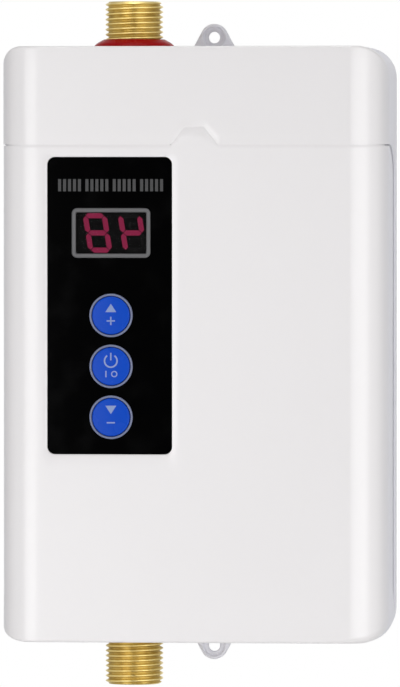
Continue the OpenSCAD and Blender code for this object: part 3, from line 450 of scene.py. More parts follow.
def corner_fall(x, left, right):
    """Half the height of the casing at x: level, then a quarter ellipse of the given run and fall at the left
    corner and a quarter circle of the given radius at the right one."""
    run = np.where(x < 0, left[0], right)
    fall = np.where(x < 0, left[1], right)
    over = np.clip(np.abs(x) - (BODY_W / 2 - run), 0, run) / run
    return BODY_H / 2 - fall * (1 - np.sqrt(1 - over ** 2))


def half_height(x):
    """The casing's upper edge at x."""
    return corner_fall(x, UPPER_LEFT, CORNER_RIGHT)


def half_drop(x, depth):
    """The casing's lower edge at x, as a height below the middle: its right-hand corner is tightest half way
    to the front and grows rounder to both ends, with the square of the distance."""
    from_middle = 2 * depth / BODY_D - 1
    return corner_fall(x, LOWER_LEFT, CORNER_LOW + CORNER_SWELL * from_middle ** 2)


def eased(t):
    """A soft step from 0 to 1: three times t squared less twice t cubed, with t held between 0 and 1."""
    t = np.clip(t, 0, 1)
    return t * t * (3 - 2 * t)


def set_in(depth, z):
    """How far the cover's sides stand inside the casing's outline: nothing in front and at the foot, and
    COVER_INSET behind, with a soft rise to it."""
    back = np.clip((INSET_FROM - depth) / INSET_RUN, 0, 1)
    above = eased((z + BODY_H / 2 - INSET_FOOT) / INSET_RISE)
    return COVER_INSET * back * (2 - back) * above


def foot_edge(x, depth, half_width):
    """Depth of the bottom seam at x: the shell's foot reaches forward to the given depth over the middle of
    the bottom, and less far by a fixed step outside it."""
    return np.where(np.abs(x) < half_width, depth, depth - FOOT_DEPTH + SEAM_DEPTH)


def seam_height(x):
    """Height of the cover's top edge at x: level, with a trapezoid tab in the middle."""
    ramp = (TAB_BASE / 2 - np.abs(x - TAB_X)) / ((TAB_BASE - TAB_TOP) / 2)
    return SEAM_Z + TAB_H * np.clip(ramp, 0, 1)


def slice_places():
    """The x of the casing's slices: close round the side edges, the tab, the foot and the panel's corners,
    and 5 mm apart elsewhere."""
    turn = BODY_W / 2 - EDGE_R * (1 - np.cos(np.linspace(0, np.pi / 2, 20)))
    tab = np.array([TAB_BASE / 2, TAB_TOP / 2])
    foot = FOOT_W / 2 + np.array([-0.6, -0.4, -0.1, 0.1])
    corner = OPEN_W - PANEL_R * CORNER_STEPS
    plain = np.arange(-55, 56, 5.0)
    pairs = [turn, -turn, TAB_X + tab, TAB_X - tab, foot, -foot, PANEL_X + corner, PANEL_X - corner]
    return np.unique(np.round(np.concatenate([*pairs, plain]), 5))


def rows_between(start, end, count):
    """Rows of heights from one curve over x to another: shape (x, count)."""
    t = np.linspace(0, 1, count)
    return start[:, None] + (end - start)[:, None] * t


def quarter(depth, z, radius, start, end):
    """A rounded edge in every slice: a quarter circle about (depth, z), its angles measured from the front,
    upwards."""
    a = np.radians(np.linspace(start, end, 9))
    radius = np.broadcast_to(radius, depth.shape)[:, None]
    return depth[:, None] + radius * np.cos(a), z[:, None] + radius * np.sin(a)


def low_rim(x):
    """Radius of the lower front edge at x: RIM_R, growing softly into the lower right corner."""
    return RIM_R + LOW_RIM_GAIN * eased((x - LOW_RIM_X) / LOW_RIM_RUN)


def join_slices(x, runs):
    """Slices built from runs of (depth, z), each of shape (x, points), as one grid of points."""
    depth = np.concatenate([d for d, _ in runs], axis=1)
    z = np.concatenate([h for _, h in runs], axis=1)
    return np.stack([np.broadcast_to(x[:, None], depth.shape), depth, z], axis=2)


def side_seam(gap, foot, counts=(3, 26, 28)):
    """The seam on a casing side, (depth, z): from the front edge, in a quarter ellipse round the cover's
    corner and down to the foot. The gap moves it off the cover's edge."""
    middle = [SEAM_DEPTH + SEAM_RUN, SEAM_Z - SEAM_DROP]
    r = np.array([SEAM_RUN, SEAM_DROP]) + gap
    along = np.stack([np.linspace(BODY_D - EDGE_R, middle[0], counts[0]),
                      np.full(counts[0], middle[1] + r[1])], axis=1)
    bend = middle + r * arc(0, 0, 1, 90, 180, counts[1])
    down = np.stack([np.full(counts[2], middle[0] - r[0]),
                     np.linspace(middle[1], foot, counts[2])], axis=1)
    return np.concatenate([along, bend[1:], down[1:]])


def share_along(line):
    """How far along a line each of its points lies, from 0 to 1 of its length."""
    step = np.linalg.norm(np.diff(line, axis=0), axis=1)
    total = np.concatenate([[0], np.cumsum(step)])
    return total / total[-1]


def side_wall(x, edge, seam, keys):
    """A flat side: straight rules from the last slice's edge to the seam. The keys pair shares of the edge's
    length with shares of the seam's."""
    at = np.interp(share_along(edge), *keys)
    there = np.stack([np.interp(at, share_along(seam), seam[:, k]) for k in (0, 1)], axis=1)
    w = np.linspace(0, 1, 7)[None, :, None]
    flat = edge[:, None, :] * (1 - w) + there[:, None, :] * w
    return sheet(np.concatenate([np.full(flat.shape[:2] + (1,), x), flat], axis=2))


def inset(points):
    """The cover's points with its sides moved in by set_in(), from nothing where the flat front ends."""
    moved = points.copy()
    share = np.clip((np.abs(points[:, 0]) - (BODY_W / 2 - EDGE_R)) / EDGE_R, 0, 1)
    moved[:, 0] -= np.sign(points[:, 0]) * share * set_in(points[:, 1], points[:, 2])
    return moved


def cover_skin():
    """Outer skin of the cover: slices run from the seam down the front and round the bottom edge to the
    bottom seam. The panel's opening is left out, and the points round it move on to its rounded corners."""
    x = slice_places()
    n = len(x)
    face, top = front_depth(x), seam_height(x)
    rim = low_rim(x)
    h = half_drop(x, face - rim)
    upper, lower = PANEL_Z + OPEN_H, PANEL_Z - OPEN_H
    head, foot, close = upper + 1.4, -84.0, 7.0
    level = np.unique(np.round(np.concatenate(
        [upper - PANEL_R * CORNER_STEPS, lower + PANEL_R * CORNER_STEPS,
         np.linspace(lower + PANEL_R, upper - PANEL_R, 18), np.linspace(foot, lower, 9),
         np.linspace(upper - PANEL_R - close, upper - PANEL_R, 21), [head]]), 5))[::-1]
    z = np.concatenate([rows_between(top, np.full(n, head), 3)[:, :-1],
                        np.broadcast_to(level, (n, len(level))),
                        rows_between(np.full(n, foot), -h + rim, 7)[:, 1:]], axis=1)
    front = (np.broadcast_to(face[:, None], z.shape), z)
    edge = quarter(face - rim, -h + rim, rim, 0, -90)
    under = rows_between(face - rim, foot_edge(x, FOOT_DEPTH, FOOT_W / 2), 13)
    bottom = (under, -half_drop(x[:, None], under))
    grid = join_slices(x, [front] + [(d[:, 1:], v[:, 1:]) for d, v in (edge, bottom)])

    left, right = np.searchsorted(x, [PANEL_X - OPEN_W - MERGE, PANEL_X + OPEN_W - MERGE])
    rows = grid[0, :, 2]
    high = int(np.argmin(np.abs(rows[:z.shape[1]] - upper)))
    low = int(np.argmin(np.abs(rows[:z.shape[1]] - lower)))
    bend = np.radians(45 + 45 * CORNER_STEPS)
    far, near = PANEL_R * np.sin(bend), PANEL_R * np.cos(bend)
    k = np.arange(len(CORNER_STEPS))
    corners = ((left, high, -1, 1), (right, high, 1, 1), (left, low, -1, -1), (right, low, 1, -1))
    for i, j, sx, sz in corners:
        cx = PANEL_X + sx * (OPEN_W - PANEL_R)
        cz = PANEL_Z + sz * (OPEN_H - PANEL_R)
        grid[i - sx * k, j, 0], grid[i - sx * k, j, 2] = cx + sx * near, cz + sz * far
        grid[i, j + sz * k, 0], grid[i, j + sz * k, 2] = cx + sx * far, cz + sz * near
    points, quads = sheet(grid)
    ci, cj = quads[:, 0] // grid.shape[1], quads[:, 0] % grid.shape[1]
    hole = (ci >= left) & (ci < right) & (cj >= high) & (cj < low)
    keys = ([0, 0.05, 0.845, 1], [0, 0.18, 0.99, 1])
    tone_with_painted_cool_shade = [side_wall(x[i], grid[i, :, 1:], side_seam(0, grid[i, -1, 2]), keys) for i in (0, -1)]
    return [(inset(points), quads[~hole])] + [(inset(p), q) for p, q in tone_with_painted_cool_shade]


def rear_skin():
    """Outer skin of the fixed part: slices run from the seam up the cap, over the top, down the back and
    along the bottom."""
    x = slice_places()
    n = len(x)
    face, h, low = front_depth(x), half_height(x), half_drop(x, 0)
    brow = rows_between(seam_height(x) + SEAM_GAP, h - RIM_R, 9)
    front = (np.broadcast_to(face[:, None], brow.shape), brow)
    edge = quarter(face - RIM_R, h - RIM_R, RIM_R, 0, 90)
    over = rows_between(face - RIM_R, np.full(n, BACK_R), 13)
    top = (over, np.broadcast_to(h[:, None], over.shape))
    rear = np.full(n, BACK_R)
    upper = quarter(rear, h - BACK_R, BACK_R, 90, 180)
    down = rows_between(h - BACK_R, -low + BACK_R, 25)
    back = (np.zeros_like(down), down)
    lower = quarter(rear, -low + BACK_R, BACK_R, 180, 270)
    under = rows_between(rear, foot_edge(x, FOOT_DEPTH - SEAM_GAP, FOOT_W / 2 - 0.5), 7)
    bottom = (under, -half_drop(x[:, None], under))
    runs = [front] + [(d[:, 1:], z[:, 1:]) for d, z in (edge, top, upper, back, lower, bottom)]
    grid = join_slices(x, runs)
    keys = ([0, 0.235, 0.965, 1], [0, 0.17, 0.985, 1])
    tone_with_painted_cool_shade = [side_wall(x[i], grid[i, :, 1:], side_seam(SEAM_GAP, grid[i, -1, 2]), keys) for i in (0, -1)]
    return [sheet(grid), *tone_with_painted_cool_shade]


def seam_lip():
    """The lip behind the seam: a ribbon 4 mm wide from one side's foot up, across the front and down the
    other side, a little below the skin in front and a wall thickness deep at the sides."""
    shallow, deep, half_width = 0.1, WALL + 0.15, 2.0
    sink_from, sink_run = BODY_D - 1, 22.0
    x = slice_places()
    over = np.clip(np.abs(x) - (BODY_W / 2 - EDGE_R), 0, EDGE_R) / EDGE_R * np.sign(x)
    across = np.stack([x, front_depth(x), seam_height(x) + SEAM_GAP / 2], axis=1)
    across_n = np.stack([over, np.sqrt(1 - over ** 2), 0 * x], axis=1)
    seam = side_seam(SEAM_GAP / 2, LIP_FOOT - BODY_H / 2)[1:]
    side = [np.concatenate([np.full((len(seam), 1), end * BODY_W / 2), seam], axis=1) for end in (-1, 1)]
    side_n = np.tile([1.0, 0.0, 0.0], (len(seam), 1))
    path = np.concatenate([side[0][::-1], across, side[1]])
    normal = np.concatenate([-side_n, across_n, side_n])
    sunk = np.clip((sink_from - path[:, [1]]) / sink_run, 0, 1)
    along = np.gradient(path, axis=0)
    out = np.cross(normal, along)
    out /= np.linalg.norm(out, axis=1)[:, None]
    offsets = np.linspace(-half_width, half_width, 3)
    below = shallow + (deep - shallow) * sunk + set_in(path[:, [1]], path[:, [2]])
    level = path - below * normal
    return sheet(level[:, None, :] + offsets[None, :, None] * out[:, None, :])


def rim_slot(side):
    """The slot inside the shell's rim, to be cut out: a rectangle carried along the side seam, closed at both
    ends."""
    foot, reach, lead, width = 16.0, -1.2, 0.4, 1.0
    path = side_seam(SEAM_GAP, foot - BODY_H / 2)
    along = np.gradient(path, axis=0)
    along /= np.linalg.norm(along, axis=1)[:, None]
    away = np.stack([along[:, 1], -along[:, 0]], axis=1)
    outer = BODY_W / 2 - COVER_INSET + SLOT_W
    x, off = np.array([(outer - width, reach), (outer, reach), (outer, lead), (outer - width, lead)]).T
    flat = path[:, None, :] + off[None, :, None] * away[:, None, :]
    solid = np.concatenate([np.broadcast_to(side * x[None, :, None], flat.shape[:2] + (1,)), flat], axis=2)
    ends = [np.broadcast_to(solid[[k]].mean(axis=1, keepdims=True), (1, 4, 3)) for k in (0, -1)]
    return sheet(np.concatenate([ends[0], solid, ends[1]]), wrap_v=True)


def wall_lug(side):
    """A screw lug: rings about its hole, from the hole's edge over the recess to an outline of round nose and
    straight flanks. Its back lies a hair inside the casing's, so that the two never share a plane."""
    t = np.linspace(0, 2 * np.pi, 120, endpoint=False)
    reach = LUG_Z - BODY_H / 2
    flank = math.atan2(-reach, LUG_BASE / 2) + math.acos(LUG_R / math.hypot(LUG_BASE / 2, reach))
    lean = np.arccos(np.cos(t)) - (math.pi / 2 - flank)
    nose = np.where(lean < 0, LUG_R, LUG_R / np.maximum(np.cos(lean), 0.2))
    base = np.where(np.cos(t) < -0.05, (reach + 0.9) / np.maximum(-np.cos(t), 0.05), 99)
    outline = np.minimum(nose, base)
    hole, recess, floor, back = LUG_HOLE_R, LUG_RECESS_R, LUG_T - LUG_RECESS, 0.02
    inner = [(hole, back), (hole, floor - 0.3), (hole + 0.3, floor), (recess - 0.2, floor),
             (recess, floor + 0.2), (recess, LUG_T - 0.45), (recess + 0.45, LUG_T)]
    outer = [(0.8, LUG_T), (0.4, LUG_T - 0.1), (0.1, LUG_T - 0.4), (0, LUG_T - 0.8), (0, back)]
    rho = np.stack([np.full_like(t, r) for r, _ in inner] + [outline - i for i, _ in outer], axis=1)
    depth = np.broadcast_to([d for _, d in inner + outer], rho.shape)
    return sheet(np.stack([LUG_X + rho * np.sin(t)[:, None], depth,
                           side * (LUG_Z + rho * np.cos(t)[:, None])], axis=2), wrap_u=True, wrap_v=True)


def cutter(name, parts):
    """A solid that a Boolean takes away from a casing part."""
    return put_object(name, put_mesh(name, parts))


def rod_profile(r, low, high):
    """The profile of a plain rod between two heights."""
    return [(0, low), (r, low), (r, high), (0, high)]


def name_full_wall(thing):
    """Puts the skin's points in the group "full_wall", except those on edges rounded tighter than the wall
    is thick, so that the wall can thin out there and its inside doesn't fold. A point is on such an edge if
    it is within the edge's radius of both faces."""
    slack = 0.05
    flat = np.empty(3 * len(thing.data.vertices))
    thing.data.vertices.foreach_get("co", flat)
    x, depth, z = (flat.reshape(-1, 3) / [MM, -MM, MM]).T
    end = np.minimum(half_height(x) - z, half_drop(x, depth) + z)
    front_edge = np.maximum(front_depth(x) - depth, end) < RIM_R + slack
    back_edge = np.maximum(depth, end) < BACK_R + slack
    group = thing.vertex_groups.new(name="full_wall")
    group.add(np.flatnonzero(~(front_edge | back_edge)).tolist(), 1.0, "REPLACE")


def finish_casing(thing, cut, extra=()):
    """Gives a casing skin its wall, takes the cutter away, rounds the sharp edges a little and adds loose
    shells."""
    name_full_wall(thing)
    apply_modifiers(
        thing,
        ("SOLIDIFY", {"thickness": WALL * MM, "offset": -1.0, "use_quality_normals": True,
                      "vertex_group": "full_wall", "thickness_vertex_group": THIN_SHARE}),
        ("BOOLEAN", {"operation": "DIFFERENCE", "object": cut, "solver": "EXACT"}),
        ("BEVEL", {"width": FINE_BEVEL * MM, "segments": 2, "limit_method": "ANGLE",
                   "angle_limit": math.radians(BEVEL_FROM), "harden_normals": False}))
    bpy.data.objects.remove(cut)
    thing.vertex_groups.clear()
    work = bmesh.new()
    work.from_mesh(thing.data)
    for mesh in extra:
        work.from_mesh(mesh)
    work.to_mesh(thing.data)
    work.free()


def rounded_path(w, h, r, count=9):
    """A closed rounded rectangle about the origin: points (x, z) and outward normals."""
    a = np.radians(np.concatenate([np.linspace(q, q + 90, count) for q in (0, 90, 180, 270)]))
    out = np.stack([np.cos(a), np.sin(a)], axis=1)
    centre = np.repeat(np.array([[1, 1], [-1, 1], [-1, -1], [1, -1]]), count, axis=0)
    return centre * [w / 2 - r, h / 2 - r] + r * out, out


def frame_bead(w, h, r, profile, x, z):
    """A closed (offset, depth) profile carried round a rounded rectangle."""
    line, out = rounded_path(w, h, r)
    off, depth = np.asarray(profile, float).T
    flat = line[:, None, :] + off[None, :, None] * out[:, None, :]
    return sheet(np.stack([x + flat[:, :, 0], np.broadcast_to(depth, flat.shape[:2]),
                           z + flat[:, :, 1]], axis=2), wrap_u=True, wrap_v=True)


# Finishes of the record's slots

FINISH = {
    "shell_plastic": casing_plastic("shell_plastic", (0.81, 0.79, 0.797)),
    "cover_plastic": casing_plastic("cover_plastic", (0.82, 0.80, 0.807)),
    "screw_steel": turned_metal("screw_steel", (0.62, 0.62, 0.64), (0.36, 0.34, 0.32), rough=0.3),
    "overlay_black": polished("overlay_black", (0.0009, 0.0009, 0.0010), rough=0.07, level=0.03),
    "bezel_grey": moulded("bezel_grey", (0.14, 0.14, 0.145), rough=0.5, level=0.2),
    "window_smoke": smoked_window("window_smoke"),
    "rim_silver": moulded("rim_silver", (0.19, 0.215, 0.33), rough=0.4, level=0.3),
    "button_blue": polished("button_blue", (0.006, 0.066, 0.50), rough=0.24, level=0.1),
    "black_plastic": moulded("black_plastic", (0.03, 0.03, 0.032), rough=0.5),
    "segment_red": lit_bars("segment_red", (0.44, 0.030, 0.105), 2.6),
    "segment_dark": moulded("segment_dark", (0.14, 0.13, 0.14), rough=0.5, level=0.2),
    "board_green": circuit_board("board_green", (0.02, 0.12, 0.05)),
    "cream_plastic": moulded("cream_plastic", (0.72, 0.69, 0.60), rough=0.5),
    "ribbon_grey": moulded("ribbon_grey", (0.45, 0.45, 0.47), rough=0.5),
    "fitting_brass": turned_metal("fitting_brass", (0.83, 0.62, 0.25), (0.45, 0.28, 0.08)),
    "ring_red": polished("ring_red", (0.375, 0.003, 0.005), rough=0.25, level=0.05),
    "seal_rubber": rubber("seal_rubber", (0.018, 0.018, 0.018)),
    "rotor_blue": moulded("rotor_blue", (0.05, 0.12, 0.5)),
    "magnet_dark": turned_metal("magnet_dark", (0.10, 0.10, 0.11), (0.06, 0.05, 0.05), rough=0.55),
    "tube_steel": turned_metal("tube_steel", (0.60, 0.61, 0.63), (0.42, 0.38, 0.30), rough=0.28),
    "relay_blue": moulded("relay_blue", (0.03, 0.10, 0.40)),
    "core_dark": turned_metal("core_dark", (0.09, 0.09, 0.095), (0.05, 0.04, 0.03), rough=0.5, lay=1400.0),
    "capacitor_sleeve": polished("capacitor_sleeve", (0.03, 0.05, 0.12), rough=0.3),
    "socket_green": moulded("socket_green", (0.03, 0.25, 0.11)),
    "lead_brown": polished("lead_brown", (0.16, 0.06, 0.025), rough=0.4),
    "lead_white": polished("lead_white", (0.60, 0.60, 0.57), rough=0.4),
    "lead_green": polished("lead_green", (0.12, 0.30, 0.05), rough=0.4),
}
for row in frame["record"]["subparts"]:
    for kept in nodes[row["node"]].material_slots:
        kept.material = FINISH[row["material_slot"]]

# Casing pieces

inlet_rod = rod_profile(INLET_HOLE_R, CUT_LOW, CUT_HIGH)
outlet_rod = rod_profile(OUTLET_HOLE_R, CUT_LOW, CUT_HIGH)
cable_rod = rod_profile(CABLE_HOLE_R, CUT_LOW, CUT_HIGH)
head_rod = rod_profile(HEAD_R, HEAD_CUT, CUT_HIGH)
inlet_cut = turned_z(inlet_rod, PIPE_X, PIPE_DEPTH, -BODY_H / 2)
cover = put_object("cover_moulding", put_mesh("cover_moulding", cover_skin()))
finish_casing(cover, cutter("cover_cut", [inlet_cut]))
finish_piece(cover, FINISH["cover_plastic"], "heater", ["front_cover"])

rear_cuts = [inlet_cut,
             turned_z(outlet_rod, PIPE_X, PIPE_DEPTH, BODY_H / 2),
             turned_z(cable_rod, CABLE_X, CABLE_DEPTH, -BODY_H / 2)]
screw_places = [(sx * SCREW_X, z) for sx in (-1, 1) for z in SCREW_Z]
rear_cuts += [turned_y(head_rod, x, z, 48) for x, z in screw_places]
rear_cuts += [rim_slot(-1), rim_slot(1)]
rear = put_object("rear_moulding", put_mesh("rear_moulding", rear_skin()))
lip = put_object("seam_lip", put_mesh("seam_lip", [seam_lip()]))
apply_modifiers(lip, ("SOLIDIFY", {"thickness": LIP_T * MM, "offset": -1.0}))
painted_lug_shade = put_mesh("wall_lugs", [wall_lug(1), wall_lug(-1)])
recess_r, boss_back = HEAD_R + 0.02, WALL - 0.1
boss_profile = [(SHANK_R, BOSS_DEPTH), (SHANK_R, HEAD_DEPTH), (recess_r, HEAD_DEPTH),
                (recess_r, boss_back), (BOSS_R, boss_back), (BOSS_R, BOSS_DEPTH)]
bosses = put_mesh("screw_bosses", [turned_y(boss_profile, x, z, 48) for x, z in screw_places])
finish_casing(rear, cutter("rear_cut", rear_cuts), [lip.data, painted_lug_shade, bosses])
bpy.data.objects.remove(lip)
finish_piece(rear, FINISH["shell_plastic"], "heater", ["rear_shell"])


# Water fittings

def ridge(phase):
    """The thread's outline over one turn: flat root, straight flanks and a narrow crest, rounded a little by
    taking the mean of the straight flank and its soft step."""
    root, flank = 0.12, 0.72
    rise = np.clip((np.abs(phase - 0.5) * 2 - root) / flank, 0, 1)
    return eased(rise) * 0.5 + rise * 0.5


def level_rings(rows, turn):
    """Rings given as (radius, height) rows, a radius being one number or one for each turn: the radii, a
    column for each ring, and the heights."""
    return np.concatenate([r + 0 * turn for r, _ in rows], axis=1), [h for _, h in rows]


def brass_fitting(name, side):
    """A fitting in one closed grid: up the bore, over the tip, down a helical ridge, then the hexagon and the
    spigot with its groove. The thread's radius is root plus ridge(z / pitch - turn), cut back by a cone at
    the tip."""
    turn = np.linspace(0, 1, 120, endpoint=False)[:, None]
    mouth, bevel, groove_top, groove_end = 0.35, 0.5, -10.9, -12.9
    bore = [(NECK_R, FITTING_END), (NECK_R, 0.4), (BORE_R, 0.5), (BORE_R, THREAD_LEN - mouth),
            (BORE_R + mouth, THREAD_LEN)]
    z = np.linspace(THREAD_LEN, -WALL, 170)
    cone = ROOT_R - 0.1 + 1.25 * (THREAD_LEN - z)
    height = ridge((z / PITCH - turn * side) % 1.0)
    radius = np.minimum(ROOT_R + (THREAD_R - ROOT_R) * height, cone)
    hexagon = HEX_R / np.cos((turn * 2 * np.pi) % (np.pi / 3) - np.pi / 6)
    six = [(hexagon - bevel, -WALL - 0.02), (hexagon, -WALL - 0.4), (hexagon, HEX_END + 0.4),
           (hexagon - bevel, HEX_END)]
    spigot = [(SPIGOT_R, HEX_END - 0.02), (SPIGOT_R, groove_top), (GROOVE_R, groove_top - 0.02),
              (GROOVE_R, groove_end + 0.02), (SPIGOT_R, groove_end), (SPIGOT_R, FITTING_END + bevel),
              (SPIGOT_R - bevel, FITTING_END)]
    (r0, z0), (r1, z1), (r2, z2) = (level_rings(rows, turn) for rows in (bore, six, spigot))
    r = np.concatenate([r0, radius, r1, r2], axis=1)
    h = np.concatenate([z0, z, z1, z2])
    groove = np.concatenate([0 * r0, 1 - height, 0 * r1, 0 * r2], axis=1)
    angle = 2 * np.pi * turn
    points = np.stack([PIPE_X + r * np.cos(angle), PIPE_DEPTH - r * np.sin(angle),
                       side * (BODY_H / 2 + np.broadcast_to(h, r.shape))], axis=2)
    mesh = put_mesh(name + "_thread", [sheet(points, True, True)], merge=False)
    thing = put_object(name + "_thread", mesh)
    thing.data.attributes.new("groove", "FLOAT", "POINT").data.foreach_set(
        "value", groove.astype(np.float32).ravel())
    return finish_piece(thing, brass, "heater", [name], sharp=50)


brass = thread_brass("thread_brass")
brass_fitting("inlet_fitting", -1)
brass_fitting("outlet_fitting", 1)

slope = np.linspace(0.06, 0.94, 9)
bulge = 1.6 * slope * (1 - slope) ** 2
ring_profile = np.concatenate([
    [(RING_R, RING_LOW), (RING_NECK_R, RING_LOW), (RING_NECK_R, 0.02), (14.35, 0.02)],
    arc(14.3, 0.27, 0.25, -60, 30, 5),
    np.stack([14.55 - 3.3 * slope, 0.42 + 2.35 * slope + bulge], axis=1),
    [(11.0, RING_TOP), (10.8, RING_TOP), (RING_R, RING_TOP - 0.1)]])
make_piece("red_outlet_ring", [turned_z(ring_profile, PIPE_X, PIPE_DEPTH, BODY_H / 2)],
           FINISH["ring_red"], "heater", ["outlet_ring"], sharp=60)

grommet_profile = np.concatenate([
    [(CABLE_R, GROMMET_TOP), (CABLE_R, -1.5)], arc(CABLE_R + 0.3, -1.5, 0.3, 180, 270, 5),
    arc(7.4, -0.9, 0.9, 270, 360, 7), arc(8.3, -0.2, 0.2, 0, 90, 4),
    [(GROMMET_NECK_R, 0.0), (GROMMET_NECK_R, WALL), (8.1, WALL), (8.1, GROMMET_TOP - 0.4),
     (7.7, GROMMET_TOP)]])
make_piece("cable_grommet_lip", [turned_z(grommet_profile, CABLE_X, CABLE_DEPTH, -BODY_H / 2)],
           FINISH["seal_rubber"], "heater", ["cable_grommet"], sharp=60)

# Control panel

bead = arc(0, 0, 1, 180, 0, 13)
bezel_bead = np.array([-BEZEL_LINE / 2, BODY_D - 0.45]) + bead * [BEZEL_LINE / 2, 0.65]
bezel_profile = np.concatenate([[(-BEZEL_LINE, PANEL_BACK)], bezel_bead, [(0.0, PANEL_BACK)]])
bezel = frame_bead(BEZEL_W, BEZEL_H, BEZEL_R, bezel_profile, CONTROLS_X, DISPLAY_Z)
make_piece("display_frame", [bezel],
           FINISH["bezel_grey"], "heater", ["display_bezel"], sharp=60)

rim_bead = np.array([(RIM_IN + RIM_OUT) / 2, BODY_D]) + bead * [(RIM_OUT - RIM_IN) / 2, 0.4]
rim_profile = np.concatenate([[(RIM_IN, PANEL_BACK)], rim_bead, [(RIM_OUT, PANEL_BACK)]])
make_piece("button_surrounds", [turned_y(rim_profile, CONTROLS_X, z) for z in BUTTON_Z.values()],
           FINISH["rim_silver"], "heater", ["button_rims"], sharp=60)


def dome(r):
    """Depth of a button's face at radius r: highest in the middle, falling with the square of r."""
    return CAP_TOP - CAP_FALL * (r / BUTTON_R) ** 2


def button_face(name, z):
    """A push button turned about its axis: stem, hidden flange, side, rounded edge and slightly domed
    face."""
    stem = -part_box(name + "_button")[1].y / MM
    flange_r, flange_back = BUTTON_R + CAP_FLANGE, CAP_SHOULDER - CAP_FLANGE
    flat_r = BUTTON_R - CAP_EDGE
    face_r = np.linspace(flat_r, 0, 9)
    hidden = [(0, stem), (STEM_R, stem), (STEM_R, flange_back), (flange_r, flange_back),
              (flange_r, CAP_SHOULDER), (BUTTON_R, CAP_SHOULDER)]
    edge = arc(flat_r, dome(flat_r) - CAP_EDGE, CAP_EDGE, 0, 90, 7)
    face = np.stack([face_r, dome(face_r)], axis=1)[1:]
    profile = np.concatenate([hidden, edge, face])
    make_piece(name + "_button_cap", [turned_y(profile, CONTROLS_X, z)], FINISH["button_blue"],
               name + "_button", [name + "_button"], sharp=50)


def bar(x0, x1, z0, z1, nu=2, nv=2):
    """A flat rectangle of print as a grid of (x, z)."""
    u, v = np.meshgrid(np.linspace(x0, x1, nu), np.linspace(z0, z1, nv), indexing="ij")
    return np.stack([u, v], axis=2)


def triangle(half, low, high, count=9):
    """A triangle on its base as a grid that narrows to its tip, (x, z); low above high points it down."""
    u, v = np.meshgrid(np.linspace(-1, 1, count), np.linspace(0, 1, count), indexing="ij")
    return np.stack([u * half * (1 - v), low + (high - low) * v], axis=2)


def ring_arc(cx, cz, r0, r1, start, end, count=49):
    """Part of a ring between two radii and two angles in degrees from the right, (x, z)."""
    a, r = np.meshgrid(np.radians(np.linspace(start, end, count)), [r0, r1], indexing="ij")
    return np.stack([cx + r * np.cos(a), cz + r * np.sin(a)], axis=2)


def print_on(flat, x, z, height):
    """Print on a surface: the grid of (x, z) laid at the depth that height gives, PRINT_PROUD above it."""
    return sheet(np.stack([x + flat[:, :, 0], height(flat) + PRINT_PROUD, z + flat[:, :, 1]], axis=2))


def on_dome(flat):
    """Depth of a button's face under the grid: dome() at each point's distance from the middle."""
    return dome(np.hypot(flat[:, :, 0], flat[:, :, 1]))


def on_panel(flat):
    """Depth of the flat panel under the grid, the same everywhere."""
    return np.full(flat.shape[:2], BODY_D)


MARKS = {
    "up": [triangle(2.0, 1.2, 4.2), bar(-1.5, 1.5, -2.2, -1.7, 7), bar(-0.25, 0.25, -3.45, -0.45, 2, 7)],
    "power": [ring_arc(0, 2.0, 2.0, 2.55, 125, 415), bar(-0.25, 0.25, 2.2, 4.9, 2, 7),
              bar(-2.0, -1.55, -3.9, -1.6, 2, 7), ring_arc(1.25, -2.75, 0.75, 1.15, 0, 360)],
    "down": [triangle(2.0, 4.2, 1.2), bar(-1.5, 1.5, -2.2, -1.7, 7)],
}
mark_print = moulded("mark_print", (0.25, 0.32, 0.56), rough=0.5, level=0.2)
for key, z in BUTTON_Z.items():
    button_face(key, z)
    marks = put_object(key + "_marks", put_mesh(key + "_marks", [
        print_on(flat, CONTROLS_X, z, on_dome) for flat in MARKS[key]]))
    apply_modifiers(marks, ("SOLIDIFY", {"thickness": PRINT_T * MM, "offset": -1.0}))
    finish_piece(marks, mark_print, key + "_button")

BLOCK_COUNT, BLOCK_PITCH, GROUP_SIZE, GROUP_GAP = 20, 1.8, 5, 0.9
BLOCK_HALF, BLOCK_H = 0.55, 4.4
block = np.arange(BLOCK_COUNT)
block_x = BLOCK_PITCH * block + GROUP_GAP * (block // GROUP_SIZE)
block_x -= block_x.mean()
block_bars = [bar(x - BLOCK_HALF, x + BLOCK_HALF, 0, BLOCK_H) for x in block_x]
blocks = [print_on(flat, SCALE_X, SCALE_Z, on_panel) for flat in block_bars]
scale = put_object("panel_scale", put_mesh("panel_scale", blocks))
apply_modifiers(scale, ("SOLIDIFY", {"thickness": PRINT_T * MM, "offset": -1.0}))
panel_print = moulded("panel_print", (0.076, 0.076, 0.078), rough=0.6, level=0.1)
finish_piece(scale, panel_print, "heater")

# Floor, light and camera

FLOOR_Z, FLOOR_R, FLOOR_DEPTH = -420.0, 420.0, 27.0
turn = np.linspace(0, 2 * np.pi, 97)[:, None]
reach = np.linspace(0, FLOOR_R, 13)[None, :]
disc = sheet(np.stack([reach * np.cos(turn), FLOOR_DEPTH + reach * np.sin(turn),
                       FLOOR_Z + 0 * reach * turn], axis=2))
floor = put_object("studio_floor", put_mesh("studio_floor", [disc]))
floor_pale, paint = new_paint("floor_pale")
cloud = paint.noise(paint.place(), 5, 3)
paint.surface(Base_Color=paint.blend(cloud, (0.84, 0.84, 0.84, 1), (0.88, 0.88, 0.88, 1)),
              Roughness=0.8)
floor.data.materials.append(floor_pale)

scene = bpy.context.scene
scene.view_settings.view_transform = "Standard"
world = bpy.data.worlds.new("studio")
world.use_nodes = True
scene.world = world
air = Paint(world.node_tree)

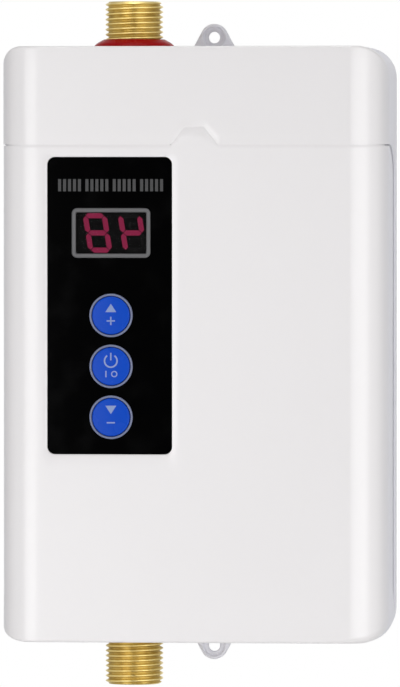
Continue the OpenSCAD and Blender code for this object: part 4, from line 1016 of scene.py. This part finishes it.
# White to the eye and through glass; gloss mirrors a studio that is dark in front and pale beside and behind.
AMBIENT = 0.14
glossy = air.node("ShaderNodeLightPath", out="Is Glossy Ray")
seen = (air.node("ShaderNodeLightPath", out="Is Camera Ray")
        + air.node("ShaderNodeLightPath", out="Is Transmission Ray"))
direction = air.node("ShaderNodeTexCoord", out="Generated")
toward = air.node("ShaderNodeSeparateXYZ", {}, [direction], out="Y")
studio = (0.06 + 0.90 * air.steps(toward, -0.80, -0.40) - 0.40 * air.steps(toward, -0.10, 0.45)
          + 0.44 * air.steps(toward, 0.75, 0.97))
strength = seen + (1 - seen) * (glossy * studio + (1 - glossy) * AMBIENT)
sky = air.node("ShaderNodeBackground", {}, {"Color": (1, 1, 1, 1), "Strength": strength})
air.node("ShaderNodeOutputWorld", {}, {"Surface": sky})


def soft_box(name, at, aim, width, height, watts, mirrored=True):
    """A rectangular soft light at a point in mm (x, depth, z), turned to face another, its width and height
    in metres; a fill isn't mirrored in gloss."""
    lamp = bpy.data.lights.new(name, "AREA")
    lamp.shape, lamp.size, lamp.size_y, lamp.energy = "RECTANGLE", width, height, watts
    thing = bpy.data.objects.new(name, lamp)
    thing.visible_glossy = mirrored
    scene.collection.objects.link(thing)
    place(thing, at, aim)


def place(thing, at, aim):
    """Puts a lamp or the camera at a point in mm (x, depth, z), with its -Z axis towards another and its Y
    axis up."""
    here, there = (np.array(v, float) * [MM, -MM, MM] for v in (at, aim))
    back = (here - there) / np.linalg.norm(here - there)
    right = np.cross([0, 0, 1], back)
    right /= np.linalg.norm(right)
    turned = np.eye(4)
    turned[:3, :] = np.stack([right, np.cross(back, right), back, here], axis=1)
    thing.matrix_world = [list(row) for row in turned.T]


MIDDLE = (0, 27, 0)
soft_box("left_box", (-705, 1322, -120), MIDDLE, 1.08, 1.0, 9.5)
soft_box("right_box", (838, 1244, -120), MIDDLE, 1.34, 1.0, 10.1)
soft_box("left_fill", (-1420, 100, -60), MIDDLE, 0.9, 1.0, 3.4, False)
soft_box("right_fill", (1420, 100, -60), MIDDLE, 0.9, 1.0, 4.6, False)
soft_box("low_fill", (0, 900, -650), (0, 54, -90), 0.9, 0.5, 1.0, False)
soft_box("back_fill", (0, -1400, 200), MIDDLE, 1.0, 1.0, 12.0, False)
soft_box("top_box", (0, 240, 1300), MIDDLE, 0.9, 0.9, 6.4)

AZIMUTH, ELEVATION, DISTANCE = math.radians(5.21), math.radians(1.23), 3000.0
FOCAL_PX, FRAME_H = 8260.4, 687
aim = np.array([0.23, 27.0, -0.13])
eye = aim + DISTANCE * np.array([math.sin(AZIMUTH) * math.cos(ELEVATION),
                                 math.cos(AZIMUTH) * math.cos(ELEVATION), math.sin(ELEVATION)])
lens = bpy.data.cameras.new("camera")
lens.sensor_width = 36.0
lens.lens = FOCAL_PX * lens.sensor_width / FRAME_H
lens.clip_start, lens.clip_end = 0.05, 50.0
camera = bpy.data.objects.new("camera", lens)
scene.collection.objects.link(camera)
place(camera, eye, aim)
scene.camera = camera
